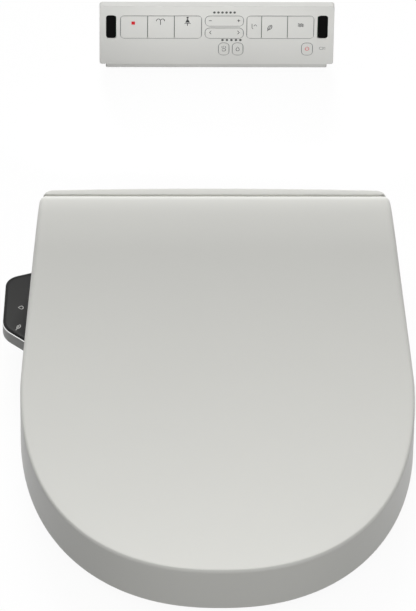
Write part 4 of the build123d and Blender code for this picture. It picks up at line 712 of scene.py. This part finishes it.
# print drawn about a place on a key (across, up): closed loops and open lines of one width, or filled shapes
keyMarks = {
    "mark_stop": {"body": "stop_key_body", "at": (-81.4, 59.35), "ink": "redInk",
                  "fills": [boxLoop(-1.9, 1.9, -2.05, 2.05, 0.3)]},
    "mark_rear_wash": {"body": "rear_wash_key_body", "at": (-52.4, 62.4), "line": 0.75,
                       "lines": [[(0, -5.2), (0, -1.0), (-0.2, 1.2)], circlePath(-2.2, 0.4, 2.0, 15, 165, 12),
                                 [(-4.1, 0.9), (-4.4, -0.6)], circlePath(2.2, 0.4, 2.0, 15, 165, 12),
                                 [(4.1, 0.9), (4.4, -0.6)]]},
    "mark_front_figure": {"body": "front_wash_key_body", "at": (-23.7, 61.8),
                          "fills": [circlePath(0, 4.6, 1.15, count=18),
                                    [(-2.4, -1.6), (2.4, -1.6), (0.35, 3.2), (-0.35, 3.2)]]},
    "mark_front_spray": {"body": "front_wash_key_body", "at": (-23.7, 61.8), "line": 0.7,
                         "lines": [[(0, -6.0), (0, -2.4)], circlePath(-1.7, -4.2, 1.7, 10, 150, 10),
                                   circlePath(1.7, -4.2, 1.7, 30, 170, 10)]},
    "mark_pressure": {"body": "pressure_rocker_body", "at": (15.6, 62.6), "line": 0.75,
                      "lines": [[(-16.6, 0), (-13.6, 0)], [(13.6, 0), (16.6, 0)],
                                [(15.1, -1.7), (15.1, 1.7)]]},
    "mark_position": {"body": "position_rocker_body", "at": (15.6, 47.25), "line": 0.75,
                      "lines": [[(-14.0, 2.15), (-15.8, 0), (-14.0, -2.15)],
                                [(14.0, 2.15), (15.8, 0), (14.0, -2.15)]]},
    "mark_power_save": {"body": "power_save_key_body", "at": (61.9, 50.6), "line": 0.7,
                        "loops": [leafPath(7.4, 3.6, 58)], "lines": [[(-0.7, -1.4), (3.1, 5.0)]]},
    "mark_massage": {"body": "massage_key_body", "at": (96.7, 56.9), "line": 0.7,
                     "lines": [wavePath(5.8, 0.5, 2.2, row) for row in (-1.5, 0.0, 1.5)]},
    "mark_power": {"body": "power_key_body", "at": (104.0, 26.1), "line": 0.6, "ink": "redInk",
                   "lines": [circlePath(0, 0, 2.0, 125, 415, 24), [(0, 0.3), (0, 2.9)]]},
    "mark_lock": {"body": "remote", "at": (119.1, 26.5), "line": 0.45, "ink": "greyInk",
                  "loops": [boxLoop(-1.9, 1.9, -1.5, 1.5, 1.0)],
                  "lines": [[(2.2, 1.1), (4.5, 1.1)], [(2.2, -0.9), (4.5, -0.9)]]},
    "mark_nozzle_clean": {"body": "nozzle_clean_key_body", "at": (47.4, 55.3), "line": 0.6,
                          "lines": [[(-2.5, 3.3), (-2.5, -1.9), (-1.4, -3.3)],
                                    [(-0.6, 0.3), (1.0, 2.3), (2.6, 0.3)]]},
    "mark_seat_heat": {"body": "seat_heat_key_body", "at": (15.2, 24.6), "line": 0.55,
                       "lines": [circlePath(0, 0, 2.1, 200, 520, 20, 0.8), [(-1.9, 4.8), (-1.9, 2.6)],
                                 [(0, 5.2), (0, 3.0)], [(1.9, 4.8), (1.9, 2.6)]]},
    "mark_water_heat": {"body": "water_heat_key_body", "at": (30.0, 25.0), "line": 0.55,
                        "loops": [dropPath(-3.6, 0.0, 1.8, 1.8, 15)[:, ::-1] * (1, -1)]},
}


def markKeys(marks, shape):
    for name, mark in marks.items():
        placed = {kind: [shifted(path, *mark["at"]) for path in mark.get(kind, [])]
                  for kind in ("loops", "lines", "fills")}
        if placed["fills"]:
            parts = fillParts(placed["fills"], shape["ink"])
        else:
            paths = [(path, kind == "loops") for kind in ("loops", "lines") for path in placed[kind]]
            parts = strokeParts(paths, mark["line"], shape["ink"])
        # the lock is printed beside the keys, on the remote's own face
        slotName, face = ("remote_white", "face") if mark["body"] == "remote" else ("key_grey", "keyFace")
        addPrint(name, parts, mark["body"], slotName, mark.get("ink", "darkInk"), frontY=shape[face])


rearHood = {
    "halfWidth": 173.0, "rear": 64.0, "bow": 3.5, "cornerRadius": 10.0, "top": 102.5, "foot": 46.0,
    "edge": 3.0, "frontEdge": 0.5, "trough": 21.6, "lean": 4.0, "webAngle": -135.0, "endsFrom": 148.0,
    "stepAt": 169.0, "stepTo": 55.0, "stepRun": 0.01, "leastDepth": 1.5, "leastRoof": 0.05, "wall": 2.5,
    "sharp": 30.0, "middleStations": 41, "bendStations": 16,
}


def hoodSection(shape, x, middle):
    # the cover's section at x, from the trough up its leaning wall, over the flat top and down the bowed
    # back; beyond stepAt it keeps behind the lid's side walls
    hingeY, hingeZ = lidShape["hinge"]
    lean, radius, edge, lip = math.radians(shape["lean"]), shape["trough"], shape["edge"], shape["frontEdge"]
    beyond = max(abs(x) - shape["halfWidth"] + shape["cornerRadius"], 0)
    rear = shape["rear"] + shape["bow"] * (1 - (x / shape["halfWidth"]) ** 2)
    rear -= shape["cornerRadius"] - math.sqrt(max(shape["cornerRadius"] ** 2 - beyond ** 2, 0))
    rear = max(rear, shape["stepTo"] + shape["leastDepth"])
    over = max(abs(x) - shape["halfWidth"] + edge, 0)
    top = shape["top"] - edge + math.sqrt(max(edge ** 2 - over ** 2, 0))
    turn = np.radians(np.linspace(shape["webAngle"] if middle else -90, -shape["lean"], 20))
    trough = np.stack([hingeY + radius * np.cos(turn), hingeZ + radius * np.sin(turn)], 1)
    if abs(x) > shape["stepAt"]:
        trough[:, 0] = np.maximum(trough[:, 0], shape["stepTo"])
    wallTop = trough[-1] + (math.tan(lean) * (top - trough[-1, 1]), top - trough[-1, 1])
    turn = np.linspace(math.pi, math.pi / 2, 5)
    front = wallTop + np.stack([lip + lip * np.cos(turn), lip * np.sin(turn) - lip], 1)
    turn = np.linspace(math.pi / 2, 0, 7)
    back = np.stack([rear - edge + edge * np.cos(turn), top - edge + edge * np.sin(turn)], 1)
    back[:, 0] = np.maximum(back[:, 0], front[-1, 0] + shape["leastRoof"])
    outer = [trough, front, back, [(rear, shape["foot"])]]
    if not middle:
        return np.concatenate([[(trough[0, 0], shape["foot"])], *outer])
    wall = shape["wall"]
    inside = hingeY + (trough - (hingeY, hingeZ)) * (radius + wall) / radius - (0, hingeY - hingeZ)
    roof = [(rear - wall, shape["foot"]), (rear - wall, top - wall), (wallTop[0] + wall, top - wall)]
    return np.concatenate([*outer, roof, inside[::-1]])


def makeHood(shape):
    # sections carried along x: hollow over the middle, and solid to the foot from endsFrom outwards
    far, near, radius, step = shape["halfWidth"], shape["endsFrom"], shape["cornerRadius"], shape["stepAt"]
    bend = far - radius + radius * np.sin(np.radians(np.linspace(0, 90, shape["bendStations"])))
    ends = np.unique([near, (near + far - radius) / 2, step, step + shape["stepRun"], *bend])
    across = np.linspace(-near, near, shape["middleStations"])
    grids = [np.stack([np.insert(hoodSection(shape, x, middle), 0, x, axis=1) for x in stations])
             for stations, middle in ((across, True), (ends, False), (-ends[::-1], False))]
    hood = loftedMesh("hood", grids, shape["sharp"])
    addPiece("rear_hood", hood, "washing_unit", "body_plastic", ["rear_cover"])


pads = {
    "seatPads": ((88.0, -405.0, 25.0), (148.0, -190.0, 90.0)), "length": 26.0, "width": 12.0, "rise": 12.0,
    "lidPads": ((118.0, -395.0), (150.0, -250.0)), "lidRadius": 6.0, "ringTop": 40.3, "edge": 1.2,
    "held": 0.4,
}


def padLevels(low, high, edge):
    # a soft pad's rings: rounded on the end that presses, straight where it is held
    turn = np.radians([0, 30, 60, 90])
    return [(edge * (1 - math.sin(t)), low + edge * (1 - math.cos(t))) for t in turn] + [(0, high)]


def makePads(shape):
    # long pads with round ends under the seat, and round pads under the lid that reach the ring
    half = shape["width"] / 2
    reach = shape["length"] / 2 - half
    slot = np.concatenate([circlePath(reach, 0, half, -90, 90, 13), circlePath(-reach, 0, half, 90, 270, 13)])
    seatLevels = padLevels(0.0, shape["rise"], shape["edge"])
    seatGrids, lidGrids = [], []
    for side in (1, -1):
        for x, y, angle in shape["seatPads"]:
            turn = math.radians(angle)
            loop = slot @ np.array([[math.cos(turn), math.sin(turn)], [-math.sin(turn), math.cos(turn)]])
            seatGrids.append(stackLoops((loop + (x, y)) * (side, 1), seatLevels))
        for x, y in shape["lidPads"]:
            under, _ = lidTop(lidShape, np.array([y]), lidShape["wall"])
            levels = padLevels(shape["ringTop"], float(under[0]) + shape["held"], shape["edge"])
            lidGrids.append(stackLoops(circlePath(side * x, y, shape["lidRadius"]), levels))
    for name, grids, body, node in (("seat_pads", seatGrids, "seat", "seat_bumpers"),
                                    ("lid_pads", lidGrids, "lid", "lid_bumpers")):
        addPiece(name, loftedMesh(name, grids), body, slotOf[node], [node])


ledges = {
    "inner": 146.0, "frontOuter": 185.2, "rearOuter": 171.0, "front": -112.6, "rear": 60.0,
    "radii": [0, 14.0, 5.0, 0], "z": (44.6, 45.8),
}


def makeLedges(shape):
    # the unit's flat shoulders beside its raised cover, under the seat's arms
    corners = [(shape["inner"], shape["front"]), (shape["frontOuter"], shape["front"]),
               (shape["rearOuter"], shape["rear"]), (shape["inner"], shape["rear"])]
    loop = roundedLoop(corners, shape["radii"])
    grids = [stackLoops(loop * (side, 1), [(0, height) for height in shape["z"]]) for side in (1, -1)]
    addPiece("side_ledges", loftedMesh("side_ledges", grids), "washing_unit", "body_plastic")


makeHood(rearHood)
makeLedges(ledges)
makePads(pads)
print("rear cover and pads made")
makeArm(arm)
markPanel(panelMarks)
markRemote(remote)
markKeys(keyMarks, remote)
print("arm and remote made")

copying = {"weldStep": 1e-6, "sharp": 28.0}


def smoothCopy(name, node):
    # a node's loose triangles joined into one skin, smooth over its curves and sharp at its edges
    points = np.empty(len(node.data.vertices) * 3, np.float32)
    node.data.vertices.foreach_get("co", points)
    corners = np.empty(len(node.data.loops), np.int32)
    node.data.loops.foreach_get("vertex_index", corners)
    points = points.reshape(-1, 3).astype(float)
    kept, joined = weld(points, corners.reshape(-1, 3), copying["weldStep"])
    mesh = makeMesh(name + "_skin", points[kept], joined, copying["sharp"])
    piece = addPiece(name + "_skin", mesh, bodyOf[name], slotOf[name], [name])
    level = piece.modifiers.new("faceWeighted", "WEIGHTED_NORMAL")
    level.keep_sharp = True


# what is not redrawn above is shown by a smooth copy of itself
for name, node in nodes.items():
    node.data.materials.clear()
    node.data.materials.append(materials[slotOf[name]])
    if name not in redrawn:
        smoothCopy(name, node)
print("nodes dressed:", len(nodes))

studio = {
    "backLight": {"elevation": 23.0, "azimuth": -3.0, "spread": 22.0, "strength": 3.15},
    "topLight": {"elevation": 75.0, "azimuth": -20.0, "spread": 60.0, "strength": 0.75},
    "frontLight": {"elevation": 3.0, "azimuth": 169.0, "spread": 24.0, "strength": 1.32},
    "remoteLight": {"place": (-0.012, 0.19, 0.075), "aim": (0.0075, 0.415, 0.036), "size": (0.34, 0.06),
                    "spread": 120.0, "power": 0.20},
    "sunDistance": 3.0, "fill": 0.272,
    "floorHalf": 12.0, "floorDrop": 0.0005, "floorTone": 0.10, "floorGlow": 0.94,
}
white = (1, 1, 1, 1)


def addLamp(name, kind, place, toward):
    # a lamp at place that shines back along toward
    lamp = bpy.data.objects.new(name, bpy.data.lights.new(name, kind))
    lamp.location = place
    lamp.rotation_euler = toward.to_track_quat("Z", "Y").to_euler()
    lamp.visible_glossy = False
    scene.collection.objects.link(lamp)
    return lamp


def addSun(name, sun):
    # a distant soft light; azimuth is measured from straight behind, positive to the right
    elevation, azimuth = math.radians(sun["elevation"]), math.radians(sun["azimuth"])
    toward = Vector((math.sin(azimuth) * math.cos(elevation), math.cos(azimuth) * math.cos(elevation),
                     math.sin(elevation)))
    lamp = addLamp(name, "SUN", toward * studio["sunDistance"], toward)
    lamp.data.energy, lamp.data.angle = sun["strength"], math.radians(sun["spread"])


def addRemoteLight(near):
    # a small soft light in front of the remote's face
    lamp = addLamp("remote_light", "AREA", near["place"], Vector(near["place"]) - Vector(near["aim"]))
    lamp.data.shape, lamp.data.size, lamp.data.size_y = "RECTANGLE", *near["size"]
    lamp.data.energy, lamp.data.spread = near["power"], math.radians(near["spread"])
    lamp.visible_camera = False


def mixedOutput(tree, factor, first, second, output):
    # one of two shaders, chosen by factor
    mix = addNode(tree, "ShaderNodeMixShader")
    tree.links.new(factor, mix.inputs[0])
    tree.links.new(first.outputs[0], mix.inputs[1])
    tree.links.new(second.outputs[0], mix.inputs[2])
    tree.links.new(mix.outputs[0], addNode(tree, output).inputs[0])


def makeWorld(setup):
    # a low even fill, and white where it is seen, mirrored or looked through
    world = bpy.data.worlds.new("studio")
    world.use_nodes = True
    tree = world.node_tree
    tree.nodes.clear()
    rays = addNode(tree, "ShaderNodeLightPath")
    through = mathNode(tree, "MAXIMUM", rays.outputs["Is Glossy Ray"], rays.outputs["Is Transmission Ray"])
    seen = mathNode(tree, "MAXIMUM", rays.outputs["Is Camera Ray"], through)
    fill = addNode(tree, "ShaderNodeBackground", Color=white, Strength=setup["fill"])
    backdrop = addNode(tree, "ShaderNodeBackground", Color=white, Strength=1.0)
    mixedOutput(tree, seen, fill, backdrop, "ShaderNodeOutputWorld")
    scene.world = world


def makeFloor(setup):
    # near-white paper that keeps the object's shadow, and throws little light back up
    half = setup["floorHalf"]
    corners = [(-half, -half, 0), (half, -half, 0), (half, half, 0), (-half, half, 0)]
    mesh = bpy.data.meshes.new("floor")
    mesh.from_pydata(corners, [], [(0, 1, 2, 3)])
    floor = bpy.data.objects.new("floor", mesh)
    floor.location.z = -setup["floorDrop"]
    scene.collection.objects.link(floor)
    material = bpy.data.materials.new("floor")
    material.use_nodes = True
    tree = material.node_tree
    tree.nodes.clear()
    rays = addNode(tree, "ShaderNodeLightPath")
    seen = mathNode(tree, "MAXIMUM", rays.outputs["Is Camera Ray"], rays.outputs["Is Glossy Ray"])
    dull = addNode(tree, "ShaderNodeBsdfDiffuse", Color=(*(setup["floorTone"],) * 3, 1))
    pale = addNode(tree, "ShaderNodeBsdfDiffuse", Color=white)
    glow = addNode(tree, "ShaderNodeEmission", Color=white, Strength=1.0)
    paper = addNode(tree, "ShaderNodeMixShader")
    paper.inputs[0].default_value = setup["floorGlow"]
    tree.links.new(pale.outputs[0], paper.inputs[1])
    tree.links.new(glow.outputs[0], paper.inputs[2])
    mixedOutput(tree, seen, dull, paper, "ShaderNodeOutputMaterial")
    mesh.materials.append(material)


addSun("back_light", studio["backLight"])
addSun("top_light", studio["topLight"])
addSun("front_light", studio["frontLight"])
addRemoteLight(studio["remoteLight"])
makeWorld(studio)
makeFloor(studio)
scene.view_settings.view_transform = "Standard"
print("studio lit")
